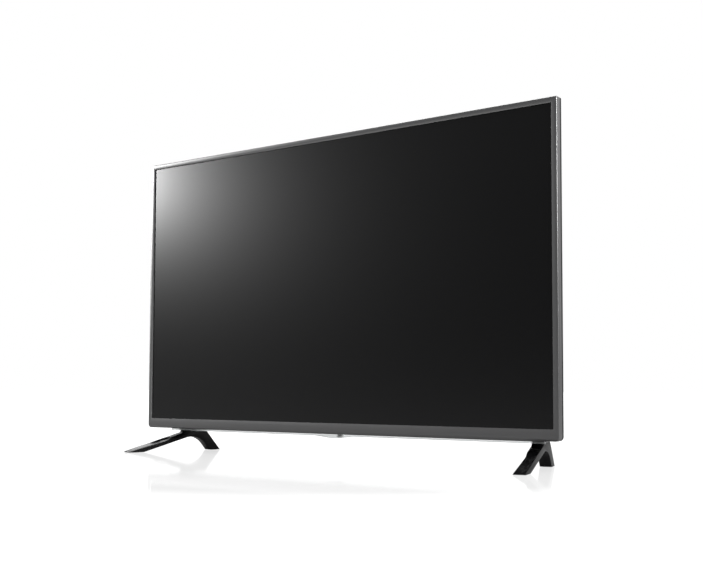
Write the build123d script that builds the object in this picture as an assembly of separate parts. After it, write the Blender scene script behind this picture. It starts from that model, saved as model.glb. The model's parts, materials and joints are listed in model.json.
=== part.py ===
from build123d import *
import os
from math import cos, radians, sin, tan

# A 49 inch flat screen television on two splayed feet, in millimetres.
# X runs across the screen, Y from the viewer into the set, Z up from the floor.
# The origin lies on the floor at the middle of the footprint.

# Whole set
tv_width = 1106.0
tv_height = 645.0
tv_depth = 84.0
stand_gap = 56.4

# Front bezel
bezel_side = 11.6
bezel_top = 11.5
bezel_bottom = 22.2
bezel_depth = 13.0
bezel_wall = 2.0
bezel_lip = 2.0
bottom_corner_radius = 8.75
top_corner_radius = 2.6
bezel_chamfer_height = 4.0
bezel_chamfer_depth = 1.6
bezel_edge_radius = 1.5

# Feet
foot_length = 246.5
foot_width = 24.0
foot_toe_out = 15.0
foot_overhang = 94.6
foot_tip_inset = 31.4

# Clearances and fits
snug_gap = 0.3
loose_gap = 0.5
running_gap = 0.05
overrun = 5.0

# Back cover
cover_wall = 2.5
rim_depth = 6.7
rim_inset = 0.5
slope_inset = 3.0
shelf_inset = 42.0
shelf_depth = 44.0
belly_inset = 44.0
belly_drop = 2.7
belly_height = 445.0
belly_lip_depth = 33.0
belly_side_taper = 14.0
belly_top_taper = 20.0
belly_edge_radius = 7.0

# Screen stack
gasket_thickness = 0.4
glass_thickness = 1.2
glass_lap = 4.0
polariser_thickness = 0.2
frame_rim = 1.7
frame_plate = 2.0
frame_lap = 3.0
frame_skirt = 3.0
film_thickness = 0.3
film_count = 3
diffuser_thickness = 1.5
backlight_depth = 21.0
chassis_sheet = 1.0

# Wall mount: the usual 300 mm square with M6 screws
mount_spacing = 300.0
mount_height = 255.0
mount_screw_radius = 3.0

# Boards
board_thickness = 1.6
standoff_height = 6.0
standoff_radius = 3.6
screw_radius = 1.25
screw_hole_gap = 0.05
screw_head_radius = 2.8
screw_head_height = 1.8

# Places that follow from the sizes above
foot_reach = foot_length * cos(radians(foot_toe_out))
front_y = foot_overhang - foot_reach / 2
body_bottom = stand_gap
body_top = stand_gap + tv_height
body_middle = stand_gap + tv_height / 2
screen_bottom = body_bottom + bezel_bottom
screen_top = body_top - bezel_top
screen_middle = (screen_bottom + screen_top) / 2
screen_width = tv_width - 2 * bezel_side
screen_height = screen_top - screen_bottom
glass_front = bezel_lip + gasket_thickness
glass_back = glass_front + glass_thickness
plate_back = glass_back + frame_plate
films_back = plate_back + film_thickness * film_count
diffuser_back = films_back + diffuser_thickness
skirt_back = plate_back + frame_skirt
chassis_front = skirt_back + backlight_depth
chassis_back = chassis_front + chassis_sheet
board_front = chassis_back + standoff_height
board_back = board_front + board_thickness
rim_back = bezel_depth + rim_depth
belly_bottom = body_bottom - belly_drop
belly_top = belly_bottom + belly_height
belly_half = tv_width / 2 - belly_inset
belly_rear_half = belly_half - belly_side_taper
belly_rear_top = belly_top - belly_top_taper
belly_inner_back = tv_depth - cover_wall
belly_floor = belly_bottom + cover_wall
frame_edge = glass_lap + snug_gap + frame_rim
panel_bottom = screen_bottom - frame_edge
panel_top = screen_top + frame_edge
panel_half = screen_width / 2 + frame_edge
mount_middle = body_bottom + mount_height

parts = {}


def keep(name, *solids):
    """Collects the separate solids of one named piece."""
    parts.setdefault(name, []).extend(solids)


def block(x, d, z):
    """A block between two places across, behind the bezel's face and up."""
    size = [span[1] - span[0] for span in (x, d, z)]
    middle = [(span[0] + span[1]) / 2 for span in (x, d, z)]
    return Pos(middle[0], front_y + middle[1], middle[2]) * Box(*size)


def around(middle, width):
    """The two ends of a width laid evenly about a middle."""
    return (middle - width / 2, middle + width / 2)


def rod(x, z, d, radius):
    """A round bar that points into the set."""
    length = d[1] - d[0]
    place = Pos(x, front_y + (d[0] + d[1]) / 2, z) * Rot(90, 0, 0)
    return place * Cylinder(radius, length)


def post(x, d, z, radius):
    """An upright round bar."""
    return Pos(x, front_y + d, (z[0] + z[1]) / 2) * Cylinder(radius, z[1] - z[0])


def cross_bar(x, d, z, radius):
    """A round bar that lies across the set."""
    place = Pos((x[0] + x[1]) / 2, front_y + d, z) * Rot(0, 90, 0)
    return place * Cylinder(radius, x[1] - x[0])


def upright_plane(d):
    """A drawing plane parallel to the screen, at a depth behind the bezel's face."""
    return Plane(origin=(0, front_y + d, 0), x_dir=(1, 0, 0), z_dir=(0, -1, 0))


def side_plane(x):
    """A drawing plane seen from the right side: depth behind the face, then height."""
    return Plane(origin=(x, front_y, 0), x_dir=(0, 1, 0), z_dir=(1, 0, 0))


def slab(sketch, d):
    """A sketch in the screen's plane, made thick between two depths."""
    return extrude(upright_plane(d[0]) * sketch, amount=d[0] - d[1])


def panel(x, z, radius=None):
    """A rectangle between places across and up, with rounded corners if asked."""
    width, height = x[1] - x[0], z[1] - z[0]
    place = Pos((x[0] + x[1]) / 2, (z[0] + z[1]) / 2)
    if radius is None:
        return place * Rectangle(width, height)
    return place * RectangleRounded(width, height, radius)


def holed(solid, cutters):
    """A solid with many cutters taken away in one go."""
    return solid.cut(*cutters) if cutters else solid


def spread(middle, pitch, count):
    """Evenly spaced places about a middle."""
    return [middle + (i - (count - 1) / 2) * pitch for i in range(count)]


# Front bezel

sharp_radius = 0.3


def body_outline(inset):
    """The set's front outline, drawn in by an inset."""
    width, height = tv_width - 2 * inset, tv_height - 2 * inset
    outline = Pos(0, body_middle) * Rectangle(width, height)
    rows = outline.vertices().group_by(Axis.Y)
    outline = fillet(rows[0], max(bottom_corner_radius - inset, sharp_radius))
    rows = outline.vertices().group_by(Axis.Y)
    return fillet(rows[-1], max(top_corner_radius - inset, sharp_radius))


def screen_outline(grow):
    """The visible screen's outline, grown on every side."""
    half = screen_width / 2 + grow
    return panel((-half, half), (screen_bottom - grow, screen_top + grow))


def make_front_bezel():
    """A frame with side walls, a lip round the screen, a rounded rim and a chamfered lower edge."""
    frame = slab(body_outline(0), (0, bezel_depth))
    rim = frame.faces().sort_by(Axis.Y)[0].edges()
    frame = fillet(rim, bezel_edge_radius)
    frame -= slab(body_outline(bezel_wall), (bezel_lip, bezel_depth + overrun))
    frame -= slab(screen_outline(0), (-overrun, bezel_lip + overrun))
    corner = [
        (-overrun, body_bottom - overrun),
        (bezel_chamfer_depth, body_bottom - overrun),
        (bezel_chamfer_depth, body_bottom),
        (0, body_bottom + bezel_chamfer_height),
        (-overrun, body_bottom + bezel_chamfer_height),
    ]
    wedge = make_face(side_plane(-tv_width / 2) * Polyline(*corner, close=True))
    keep("front_bezel", frame - extrude(wedge, amount=tv_width))


# Back cover

chin_rise = 0.5
seat_lip_depth = 4.0
seat_lip_wall = 1.2
side_bay_width = 95.0
side_bay_inset_share = 0.155
rear_bay_width = 92.0
bay_bottom_share = 0.27
bay_height = 165.0
rear_bay_depth = 52.0
side_bay_clear = 1.6
mains_bay_inset = 120.0
mains_bay_width = 60.0
mains_bay_height = 46.0
plate_thickness = 1.2
window_margin = 6.0
vent_width = 3.0
vent_length = 34.0
vent_pitch = 7.0
vent_count = 26
vent_rows = 2
vent_row_gap = 9.0
vent_place_share = 0.52
vent_top_gap = 34.0
chin_vent_length = 16.0
chin_vent_count = 16
well_wall = 2.0
well_radius = 5.0
well_floor = 2.4
well_gap = 0.3
well_edge = 30.0
well_low = 126.0
insert_radius = 7.0
joystick_hole_radius = 9.0
joystick_depth = 55.0
trim_slot_length = 20.0
trim_slot_depth = 4.0
foot_neck_front = 149.0
foot_neck_rear = 176.0

side_bay_inset = belly_half * side_bay_inset_share
rear_bay_right = -belly_half + side_bay_inset + side_bay_width + rear_bay_width
bay_wall_x = rear_bay_right - rear_bay_width
side_bay_left = bay_wall_x - side_bay_width
bay_bottom = belly_bottom + bay_bottom_share * belly_height
bay_top = bay_bottom + bay_height
side_bay_depth = chassis_back + cover_wall + side_bay_clear
mains_bay_x = belly_half - mains_bay_inset
mains_bay_z = bay_bottom + mains_bay_height / 2
trim_depth = belly_lip_depth + trim_slot_depth / 2


def belly_section(d, half, bottom, top, shrink, radius):
    """One cross-section of the belly, as a face at its depth."""
    inner = half - shrink
    outline = panel((-inner, inner), (bottom + shrink, top - shrink), radius)
    return (upright_plane(d) * outline).face()


def slope_section(d, inset):
    """One cross-section of the upper back's slope."""
    return (upright_plane(d) * body_outline(inset)).face()


def cover_form(shrink, front):
    """The back cover's outer form, or its hollow when shrunk by the wall."""
    rim = slab(body_outline(rim_inset + shrink), (front, rim_back))
    shelf = shelf_depth - shrink
    slope = loft(
        [
            slope_section(rim_back, slope_inset + shrink),
            slope_section(shelf, shelf_inset + shrink),
        ],
        ruled=True,
    )
    chin = belly_bottom + belly_drop + rim_inset + chin_rise
    radius = belly_edge_radius
    belly = loft(
        [
            belly_section(rim_back, belly_half, chin, belly_top, shrink, radius),
            belly_section(
                belly_lip_depth, belly_half, belly_bottom, belly_top, shrink, radius
            ),
            belly_section(
                tv_depth - shrink,
                belly_rear_half,
                belly_bottom,
                belly_rear_top,
                shrink,
                radius,
            ),
        ],
        ruled=True,
    )
    return rim + slope + belly


def round_rear(form):
    """Rounds the belly's rear edges."""
    rear = form.faces().sort_by(Axis.Y)[-1]
    return fillet(rear.edges(), belly_edge_radius / 2)


def well_places():
    """Where the cover's screws go: across, up and the depth of the face there."""
    half = tv_width / 2 - shelf_inset - well_edge
    top = body_top - shelf_inset - well_edge
    places = [(x, top, shelf_depth) for x in spread(0, half / 2, 5)]
    edge = belly_rear_half - well_edge
    low = belly_bottom + well_low
    high = belly_rear_top - well_edge
    for x in (-edge, edge):
        places += [(x, low, tv_depth), (x, high, tv_depth)]
    places += [(0, high, tv_depth), (0, low, tv_depth)]
    return places


def mount_places():
    """The four wall-mount holes, across and up."""
    half = mount_spacing / 2
    return [(x, mount_middle + z) for x in (-half, half) for z in (-half, half)]


def vent_slots():
    """Rows of upright slots high on the belly's rear face."""
    slots = []
    for side in (-1, 1):
        middle = side * belly_rear_half * vent_place_share
        for row in range(vent_rows):
            top = belly_rear_top - vent_top_gap - row * (vent_length + vent_row_gap)
            for x in spread(middle, vent_pitch, vent_count):
                span = (top - vent_length, top)
                depth = (belly_inner_back - overrun, tv_depth + overrun)
                slots.append(block(around(x, vent_width), depth, span))
    return slots


def chin_slots():
    """Slots in the belly's underside, below each speaker."""
    slots = []
    for side in (-1, 1):
        for x in spread(side * speaker_middle, vent_pitch, chin_vent_count):
            depth = around(speaker_depth, chin_vent_length)
            height = (belly_bottom - overrun, belly_floor + overrun)
            slots.append(block(around(x, vent_width), depth, height))
    return slots


def bay_walls():
    """The walls of the connector bays, added inside the cover."""
    rear = tv_depth - cover_wall / 2
    wall = cover_wall
    side = block(
        (side_bay_left - wall, bay_wall_x + wall),
        (side_bay_depth - wall, rear),
        (bay_bottom - wall, bay_top + wall),
    )
    back = block(
        (bay_wall_x, rear_bay_right + wall),
        (rear_bay_depth - wall, rear),
        (bay_bottom - wall, bay_top + wall),
    )
    mains = block(
        around(mains_bay_x, mains_bay_width + 2 * wall),
        (rear_bay_depth - wall, rear),
        around(mains_bay_z, mains_bay_height + 2 * wall),
    )
    return side + back + mains


def bay_hollows():
    """The open spaces of the connector bays."""
    back = tv_depth + overrun
    return [
        block((side_bay_left, bay_wall_x), (side_bay_depth, back), (bay_bottom, bay_top)),
        block((bay_wall_x, rear_bay_right), (rear_bay_depth, back), (bay_bottom, bay_top)),
        block(
            around(mains_bay_x, mains_bay_width),
            (rear_bay_depth, back),
            around(mains_bay_z, mains_bay_height),
        ),
    ]


def side_window():
    """The window between the side bay and the boards, across, in and up."""
    depth = (board_back - board_thickness, rear_bay_depth - cover_wall)
    height = (bay_bottom + window_margin, bay_top - window_margin)
    return (bay_wall_x, bay_wall_x + cover_wall), depth, height


def rear_window():
    """The window in the rear bay's floor."""
    across = (bay_wall_x + cover_wall + window_margin, rear_bay_right - window_margin)
    height = (bay_bottom + window_margin, bay_top - window_margin)
    return across, (rear_bay_depth - cover_wall, rear_bay_depth), height


def window_cutters():
    """Cutters for both jack windows and the mains inlet."""
    x, d, z = side_window()
    side = block((x[0] - overrun, x[1] + overrun), d, z)
    x, d, z = rear_window()
    back = block(x, (d[0] - overrun, d[1] + overrun), z)
    inlet = block(
        around(mains_bay_x, inlet_width + 2 * snug_gap),
        (rear_bay_depth - cover_wall - overrun, rear_bay_depth + overrun),
        around(mains_bay_z, inlet_height + 2 * snug_gap),
    )
    return [side, back, inlet]


def wells():
    """Tubes that carry the cover's screws down to the chassis."""
    tubes, holes = [], []
    for x, z, face in well_places():
        front = chassis_back + well_gap
        rear = face - cover_wall / 2
        tubes.append(rod(x, z, (front, rear), well_radius + well_wall))
        holes.append(rod(x, z, (front + well_floor, face + overrun), well_radius))
        hole = screw_radius + snug_gap
        holes.append(rod(x, z, (front - overrun, face), hole))
    return tubes, holes


def make_back_cover():
    """The moulded rear shell, with bays, vents, wells and holes."""
    shell = round_rear(cover_form(0, bezel_depth))
    shell -= cover_form(cover_wall, bezel_depth - overrun)
    lip_inset = bezel_wall + snug_gap
    lip = slab(body_outline(lip_inset), (bezel_depth - seat_lip_depth, rim_back))
    hollow = body_outline(lip_inset + seat_lip_wall)
    lip -= slab(hollow, (bezel_depth - seat_lip_depth - overrun, rim_back + overrun))
    tubes, holes = wells()
    shell = shell.fuse(lip, bay_walls(), *tubes)
    shell = holed(shell, bay_hollows() + window_cutters())
    for x, z in mount_places():
        depth = (belly_inner_back - overrun, tv_depth + overrun)
        holes.append(rod(x, z, depth, insert_radius + snug_gap))
    floor = (belly_bottom - overrun, belly_floor + overrun)
    holes.append(post(0, joystick_depth, floor, joystick_hole_radius))
    slot = trim_slot_length + 2 * snug_gap
    deep = trim_slot_depth + 2 * snug_gap
    holes.append(block(around(0, slot), around(trim_depth, deep), floor))
    for side in (-1, 1):
        holes.append(neck_hole(side))
    for x, z in foot_screw_places():
        depth = (belly_inner_back - overrun, tv_depth + overrun)
        holes.append(rod(x, z, depth, foot_screw_radius + snug_gap))
    holes.append(holder_holes())
    keep("back_cover", holed(shell, holes + vent_slots() + chin_slots()))


def make_jack_plates():
    """The two thin plates that carry the connectors."""
    x, d, z = side_window()
    side = (x[0] + plate_thickness / 2, x[0] + plate_thickness * 3 / 2)
    plate = block(side, d, z)
    keep("jack_plates", holed(plate, side_socket_blocks(snug_gap)))
    x, d, z = rear_window()
    rear = (d[1] - plate_thickness * 3 / 2, d[1] - plate_thickness / 2)
    plate = block(x, rear, z)
    keep("jack_plates", holed(plate, rear_socket_cutters(snug_gap)))


# Cable holder on the belly's rear

holder_width = 30.0
holder_height = 12.0
holder_reach = 14.0
holder_wall = 2.5
holder_peg_radius = 2.0
holder_peg_length = 6.0
holder_x_share = 0.3
holder_z = 34.0


def holder_place():
    """The middle of the cable holder, across and up."""
    return -belly_rear_half * holder_x_share, belly_bottom + holder_z


def holder_holes():
    """The holes that the cable holder's pegs push into."""
    x, z = holder_place()
    depth = (belly_inner_back - overrun, tv_depth + overrun)
    reach = holder_width / 2 - holder_wall
    radius = holder_peg_radius + snug_gap / 2
    return rod(x - reach, z, depth, radius) + rod(x + reach, z, depth, radius)


def make_cable_holder():
    """A square loop with two pegs."""
    x, z = holder_place()
    loop = block(
        around(x, holder_width), (tv_depth, tv_depth + holder_reach), around(z, holder_height)
    )
    loop -= block(
        around(x, holder_width - 2 * holder_wall),
        (tv_depth + holder_wall, tv_depth + holder_reach - holder_wall),
        around(z, holder_height + overrun),
    )
    reach = holder_width / 2 - holder_wall
    for side in (-1, 1):
        depth = (tv_depth - holder_peg_length, tv_depth)
        loop += rod(x + side * reach, z, depth, holder_peg_radius)
    keep("cable_holder", loop)


# Cover screws and wall-mount inserts

insert_thread_depth = 14.0
cover_screw_tip = 0.2
driver_radius = 1.2
driver_depth = 1.0


def pan_screw(x, z, seat, tip):
    """A pan-head screw from behind, with a round driver recess."""
    head = rod(x, z, (seat, seat + screw_head_height), screw_head_radius)
    head = fillet(head.faces().sort_by(Axis.Y)[-1].edges(), screw_head_height / 2)
    recess = (seat + screw_head_height - driver_depth, seat + screw_head_height + overrun)
    return head + rod(x, z, (tip, seat), screw_radius) - rod(x, z, recess, driver_radius)


def make_cover_screws():
    """Screws at the bottom of each well, through into the chassis."""
    seat = chassis_back + well_gap + well_floor
    for x, z, _ in well_places():
        keep("cover_screws", pan_screw(x, z, seat, chassis_front + cover_screw_tip))


def make_wall_mount_inserts():
    """Threaded steel posts from the chassis to the rear face."""
    for x, z in mount_places():
        bar = rod(x, z, (chassis_back, tv_depth), insert_radius)
        hole = rod(x, z, (tv_depth - insert_thread_depth, tv_depth + overrun), mount_screw_radius)
        keep("wall_mount_inserts", bar - hole)


# Feet

foot_front_slope = 0.286
foot_under_slope = 0.278
foot_rear_slope = 1.25
foot_sole = 40.0
foot_heel = 28.7
foot_nose = 2.6
foot_shoulder_gap = 2.7
foot_crotch_radius = 52.0
foot_shoulder_radius = 9.0
foot_neck_radius = 6.0
foot_edge = 1.2
foot_tenon_height = 40.0
foot_scoop_radius = 42.0
foot_scoop_depth = 5.0
foot_scoop_shift = 8.5
foot_scoop_end = 113.0
foot_scoop_lean = -2.35
foot_screw_radius = 2.0
foot_screw_low = 17.0
foot_screw_pitch = 15.0
foot_screw_share = 0.55
foot_screw_length = 22.0
foot_screw_head_radius = 3.6
foot_screw_head = 2.4
pad_length = 16.0
pad_width = 14.0
pad_thickness = 1.0
pad_sink = 0.4

foot_lift = pad_thickness - pad_sink
foot_screw_tip_depth = tv_depth - foot_screw_length - screw_hole_gap


def foot_frame(side):
    """Where a foot stands: its tip's middle, turned outwards, along its own length."""
    x = side * (tv_width / 2 - foot_tip_inset)
    y = front_y - foot_overhang
    turn = side * foot_toe_out
    return Pos(x, y, 0) * Rot(0, 0, turn)


def foot_plane():
    """The drawing plane of a foot's side outline."""
    return Plane(origin=(0, 0, 0), x_dir=(0, 1, 0), z_dir=(1, 0, 0))


def foot_outline():
    """The boomerang outline: a long front leg, a neck and a short rear leg."""
    shoulder = belly_bottom - foot_shoulder_gap
    neck = foot_neck_front
    neck_z = foot_nose + neck * foot_front_slope
    heel = foot_length - foot_heel
    shoulder_t = foot_length - shoulder / foot_rear_slope
    rise = foot_under_slope * (heel - foot_sole)
    back = rise / (foot_under_slope + foot_rear_slope)
    crotch_t = heel - back
    crotch_z = foot_lift + back * foot_rear_slope
    points = [
        (0, foot_lift),
        (0, foot_nose),
        (neck, neck_z),
        (neck, shoulder),
        (shoulder_t, shoulder),
        (foot_length, foot_lift),
        (heel, foot_lift),
        (crotch_t, crotch_z),
        (foot_sole, foot_lift),
    ]
    face = make_face(foot_plane() * Polyline(*points, close=True))
    wanted = [
        ((crotch_t, crotch_z), foot_crotch_radius),
        ((neck, neck_z), foot_neck_radius),
        ((shoulder_t, shoulder), foot_shoulder_radius),
    ]
    for (t, z), radius in wanted:
        near = sorted(face.vertices(), key=lambda v: abs(v.Y - t) + abs(v.Z - z))
        face = fillet(near[0], radius)
    return face


def foot_tenon(grow, top):
    """The block at the top of the neck that goes up into the set."""
    length = foot_neck_rear - foot_neck_front + 2 * grow
    middle = (foot_neck_front + foot_neck_rear) / 2
    shoulder = belly_bottom - foot_shoulder_gap
    height = top - shoulder
    place = Pos(0, middle, shoulder + height / 2)
    return place * Box(foot_width + 2 * grow, length, height)


def foot_scoop(side):
    """A ball-ended trough along the front leg's upper face, open to the foot's inner side."""
    slope = foot_front_slope
    run = (1 + slope**2) ** 0.5
    reach = foot_scoop_radius - foot_scoop_depth
    round_end = (foot_scoop_radius**2 - reach**2) ** 0.5
    end = foot_scoop_end - round_end
    across = -side * foot_scoop_shift
    ball = Pos(across, end - reach * slope / run, foot_nose + end * slope + reach / run)
    ball *= Rot(degrees_of(slope) + foot_scoop_lean, 0, 0)
    bar = Pos(0, -foot_length / 2, 0) * Rot(90, 0, 0) * Cylinder(foot_scoop_radius, foot_length)
    return ball * (bar + Sphere(foot_scoop_radius))


def degrees_of(slope):
    """The angle of a slope."""
    return Vector(1, 0, 0).get_angle(Vector(1, slope, 0))


def foot_screw_places():
    """The foot screws, across and up, on the belly's rear face."""
    along = foot_neck_front + (foot_neck_rear - foot_neck_front) * foot_screw_share
    places = []
    for side in (-1, 1):
        x = side * (tv_width / 2 - foot_tip_inset - along * sin(radians(foot_toe_out)))
        for i in range(2):
            places.append((x, belly_bottom + foot_screw_low + i * foot_screw_pitch))
    return places


def neck_hole(side):
    """The hole in the belly's underside for the foot's neck."""
    height = (belly_bottom - overrun, belly_floor + overrun)
    middle = (foot_neck_front + foot_neck_rear) / 2
    length = foot_neck_rear - foot_neck_front + 2 * snug_gap
    box = Box(foot_width + 2 * snug_gap, length, height[1] - height[0])
    return foot_frame(side) * Pos(0, middle, (height[0] + height[1]) / 2) * box


def pad_places():
    """Where the rubber pads sit along the foot's underside."""
    return (foot_sole / 2, foot_length - foot_heel / 2)


def make_foot(side, name):
    """One foot, with its scoop, its screw holes and pockets for the pads."""
    body = extrude(foot_outline(), amount=foot_width / 2, both=True)
    rims = body.faces().filter_by(Axis.X).edges()
    long_rims = [e for e in rims if e.center().Z > foot_nose]
    body = chamfer(long_rims, foot_edge / 2)
    body -= foot_scoop(side)
    body += foot_tenon(0, belly_bottom + foot_tenon_height)
    for t in pad_places():
        pocket = Box(pad_width + snug_gap, pad_length + snug_gap, 2 * pad_thickness)
        body -= Pos(0, t, 0) * pocket
    foot = foot_frame(side) * body
    for x, z in foot_screw_places():
        if x * side > 0:
            depth = (foot_screw_tip_depth, tv_depth)
            foot -= rod(x, z, depth, foot_screw_radius + screw_hole_gap)
    keep(name, foot)


def make_foot_screws():
    """Screws from the rear face into each foot's tenon."""
    for x, z in foot_screw_places():
        head = rod(x, z, (tv_depth, tv_depth + foot_screw_head), foot_screw_head_radius)
        head = fillet(head.faces().sort_by(Axis.Y)[-1].edges(), foot_screw_head / 2)
        shank = rod(x, z, (tv_depth - foot_screw_length, tv_depth), foot_screw_radius)
        recess_front = tv_depth + foot_screw_head - driver_depth
        recess = rod(x, z, (recess_front, tv_depth + foot_screw_head + overrun), driver_radius)
        keep("foot_screws", head + shank - recess)


def make_foot_pads():
    """Four thin rubber pads that the set stands on."""
    for side in (-1, 1):
        for t in pad_places():
            pad = Pos(0, t, pad_thickness / 2) * Box(pad_width, pad_length, pad_thickness)
            keep("foot_pads", foot_frame(side) * pad)


bracket_sheet = 1.5
bracket_flange = 14.0
bracket_height = 44.0
bracket_rise = 2.0


def tenon_box(grow, height):
    """A box round a foot's tenon, in the foot's own frame and standing on zero."""
    length = foot_neck_rear - foot_neck_front + 2 * grow
    middle = (foot_neck_front + foot_neck_rear) / 2
    return Pos(0, middle, height / 2) * Box(foot_width + 2 * grow, length, height)


def make_foot_bracket(side):
    """A folded steel pocket that takes a foot's tenon, with an arm to the chassis."""
    low = belly_floor + bracket_rise
    high = low + bracket_height
    place = foot_frame(side)
    room = place * tenon_box(snug_gap, tv_height)
    pocket = place * Pos(0, 0, low) * tenon_box(snug_gap + bracket_sheet, bracket_height)
    across = around(side * abs(foot_screw_places()[0][0]), foot_width / 2)
    far = foot_depth((foot_neck_front + foot_neck_rear) / 2)
    arm = block(across, (chassis_back, far), (high - bracket_sheet, high))
    flange_depth = (chassis_back, chassis_back + bracket_sheet)
    arm += block(across, flange_depth, (high - bracket_flange, high))
    bracket = pocket + arm - room
    for x, z in foot_screw_places():
        if x * side > 0:
            span = (foot_screw_tip_depth, tv_depth + overrun)
            bracket -= rod(x, z, span, foot_screw_radius + snug_gap)
    keep("foot_brackets", bracket)


def foot_depth(along):
    """The depth behind the bezel's face of a place along the foot."""
    return along * cos(radians(foot_toe_out)) - foot_overhang


# Clear trim under the bezel

trim_height = 3.8
trim_width = 8.0
trim_inset = 4.0
lens_drop = 8.4
lens_half = 58.0
lens_swell_share = 0.42


def make_clear_trim():
    """A clear strip along the belly's lip that swells to a lens at the middle."""
    half = belly_half - trim_inset
    top, low = belly_bottom, belly_bottom - trim_height
    lens = belly_bottom - lens_drop
    swell = lens_half * lens_swell_share
    lower = Spline(
        (-lens_half, low),
        (-swell, (low + lens * 2) / 3),
        (0, lens),
        (swell, (low + lens * 2) / 3),
        (lens_half, low),
        tangents=((1, 0), (1, 0)),
    )
    corners = [(half, low), (half, top), (-half, top), (-half, low)]
    edge = Polyline((lens_half, low), *corners, (-lens_half, low))
    front = belly_lip_depth
    face = make_face(lower + edge)
    strip = slab(face, (front, front + trim_width))
    guide_top = housing_top - receiver_drop - loose_gap
    across, depth = around(0, trim_slot_length), around(trim_depth, trim_slot_depth)
    guide = block(across, depth, (top - trim_height / 2, guide_top))
    keep("clear_trim", strip + guide)


# Screen

polariser_gap = 0.5
sheet_gap = 0.5
gasket_width = 1.0
reflector_thickness = 0.5
reflector_slope = 28.0
lens_rows = 4
lenses_per_bar = 5
lens_radius = 7.5
lens_height = 5.0
lens_hole_gap = 0.8
lens_hollow_radius = 3.0
lens_hollow_depth = 1.6
chip_size = 3.0
chip_height = 0.8
bar_width = 14.0
bar_thickness = 1.5
bar_end_gap = 12.0
support_base_radius = 5.0
support_tip_radius = 1.2

lens_pitch = screen_width / (2 * lenses_per_bar)
row_pitch = screen_height / lens_rows
bar_front = chassis_front - bar_thickness
reflector_back = bar_front
reflector_front = reflector_back - reflector_thickness


def lens_rows_z():
    """The heights of the rows of lights."""
    return spread(screen_middle, row_pitch, lens_rows)


def lens_columns_x():
    """The places of the lights across the screen."""
    return spread(0, lens_pitch, 2 * lenses_per_bar)


def ring(grow_out, grow_in, d):
    """A frame round the screen between two outlines."""
    outer = slab(screen_outline(grow_out), d)
    return outer - slab(screen_outline(grow_in), (d[0] - overrun, d[1] + overrun))


def make_screen():
    """Gasket, glass, polarisers, middle frame, optical sheets and diffuser plate."""
    keep("screen_gasket", ring(gasket_width, 0, (bezel_lip, glass_front)))
    keep("lcd_glass", slab(screen_outline(glass_lap), (glass_front, glass_back)))
    front = (glass_front - polariser_thickness, glass_front)
    keep("polarisers", slab(screen_outline(-polariser_gap), front))
    rear = (glass_back, glass_back + polariser_thickness)
    keep("polarisers", slab(screen_outline(-frame_lap - polariser_gap), rear))
    frame = ring(frame_edge, -frame_lap, (glass_back, plate_back))
    frame += ring(frame_edge, glass_lap + snug_gap, (glass_front, glass_back))
    frame += ring(frame_edge, glass_lap, (plate_back, skirt_back))
    keep("middle_frame", frame)
    outline = screen_outline(glass_lap - sheet_gap)
    for i in range(film_count):
        start = plate_back + i * film_thickness
        keep("optical_sheets", slab(outline, (start, start + film_thickness)))
    keep("diffuser_plate", slab(outline, (films_back, diffuser_back)))


def reflector_section(d, inset):
    """One cross-section of the reflector tray."""
    return (upright_plane(d) * screen_outline(glass_lap - sheet_gap - inset)).face()


def make_reflector():
    """A white tray with a flange under the diffuser plate and a hole at each lens."""
    flange = (diffuser_back, diffuser_back + reflector_thickness)
    thick = reflector_thickness
    outer = loft(
        [
            reflector_section(flange[0], thick),
            reflector_section(reflector_back, reflector_slope + thick),
        ],
        ruled=True,
    )
    inner = loft(
        [
            reflector_section(flange[0], 2 * thick),
            reflector_section(reflector_front, reflector_slope + 2 * thick),
        ],
        ruled=True,
    )
    tray = slab(screen_outline(glass_lap - sheet_gap), flange) + outer - inner
    hole = lens_radius + lens_hole_gap
    holes = [
        rod(x, z, (reflector_front - overrun, reflector_back + overrun), hole)
        for x in lens_columns_x()
        for z in lens_rows_z()
    ]
    keep("reflector_sheet", holed(tray, holes))


def make_lights():
    """Light bars with their chips and lens caps, and the diffuser's supports."""
    half = screen_width / 2 - glass_lap - reflector_slope
    for z in lens_rows_z():
        for side in (-1, 1):
            ends = sorted((side * bar_end_gap, side * half))
            bar = block(ends, (bar_front, chassis_front), around(z, bar_width))
            keep("light_bars", bar)
        for x in lens_columns_x():
            chip = block(
                around(x, chip_size), (bar_front - chip_height, bar_front), around(z, chip_size)
            )
            keep("light_chips", chip)
            keep("lens_caps", lens_cap(x, z))
    for x in spread(0, 2 * lens_pitch, lenses_per_bar - 1):
        for z in spread(screen_middle, row_pitch, lens_rows - 1):
            keep("diffuser_supports", support_cone(x, z))


def lens_cap(x, z):
    """A domed lens with a hollow over its chip."""
    dome = rod(x, z, (bar_front - lens_height, bar_front), lens_radius)
    dome = fillet(dome.faces().sort_by(Axis.Y)[0].edges(), lens_height / 2)
    return dome - rod(x, z, (bar_front - lens_hollow_depth, bar_front + overrun), lens_hollow_radius)


def support_cone(x, z):
    """A cone from the reflector sheet to the diffuser plate."""
    length = reflector_front - diffuser_back
    place = Pos(x, front_y + (reflector_front + diffuser_back) / 2, z) * Rot(90, 0, 0)
    return place * Cone(support_base_radius, support_tip_radius, length)


# Rear chassis

chassis_rim = 3.4
chassis_slope = 26.0
chassis_foot_slope = 12.0
rail_width = 22.0
rail_height = 4.0
rail_offset = 61.0
rail_end_gap = 60.0
upper_rails = 2
source_rise = 1.0
source_height = 18.0
source_inset = 80.0
source_middle_gap = 40.0
source_thickness = 1.2
source_spacer = 1.0
source_spacer_width = 10.0


def board_screw_places():
    """Every board screw, across and up."""
    places = []
    for name in ("power", "main", "timing"):
        x, z = board_spans()[name]
        for sx in (x[0] + board_screw_edge, x[1] - board_screw_edge):
            for sz in (z[0] + board_screw_edge, z[1] - board_screw_edge):
                places.append((sx, sz))
    return places


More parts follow.
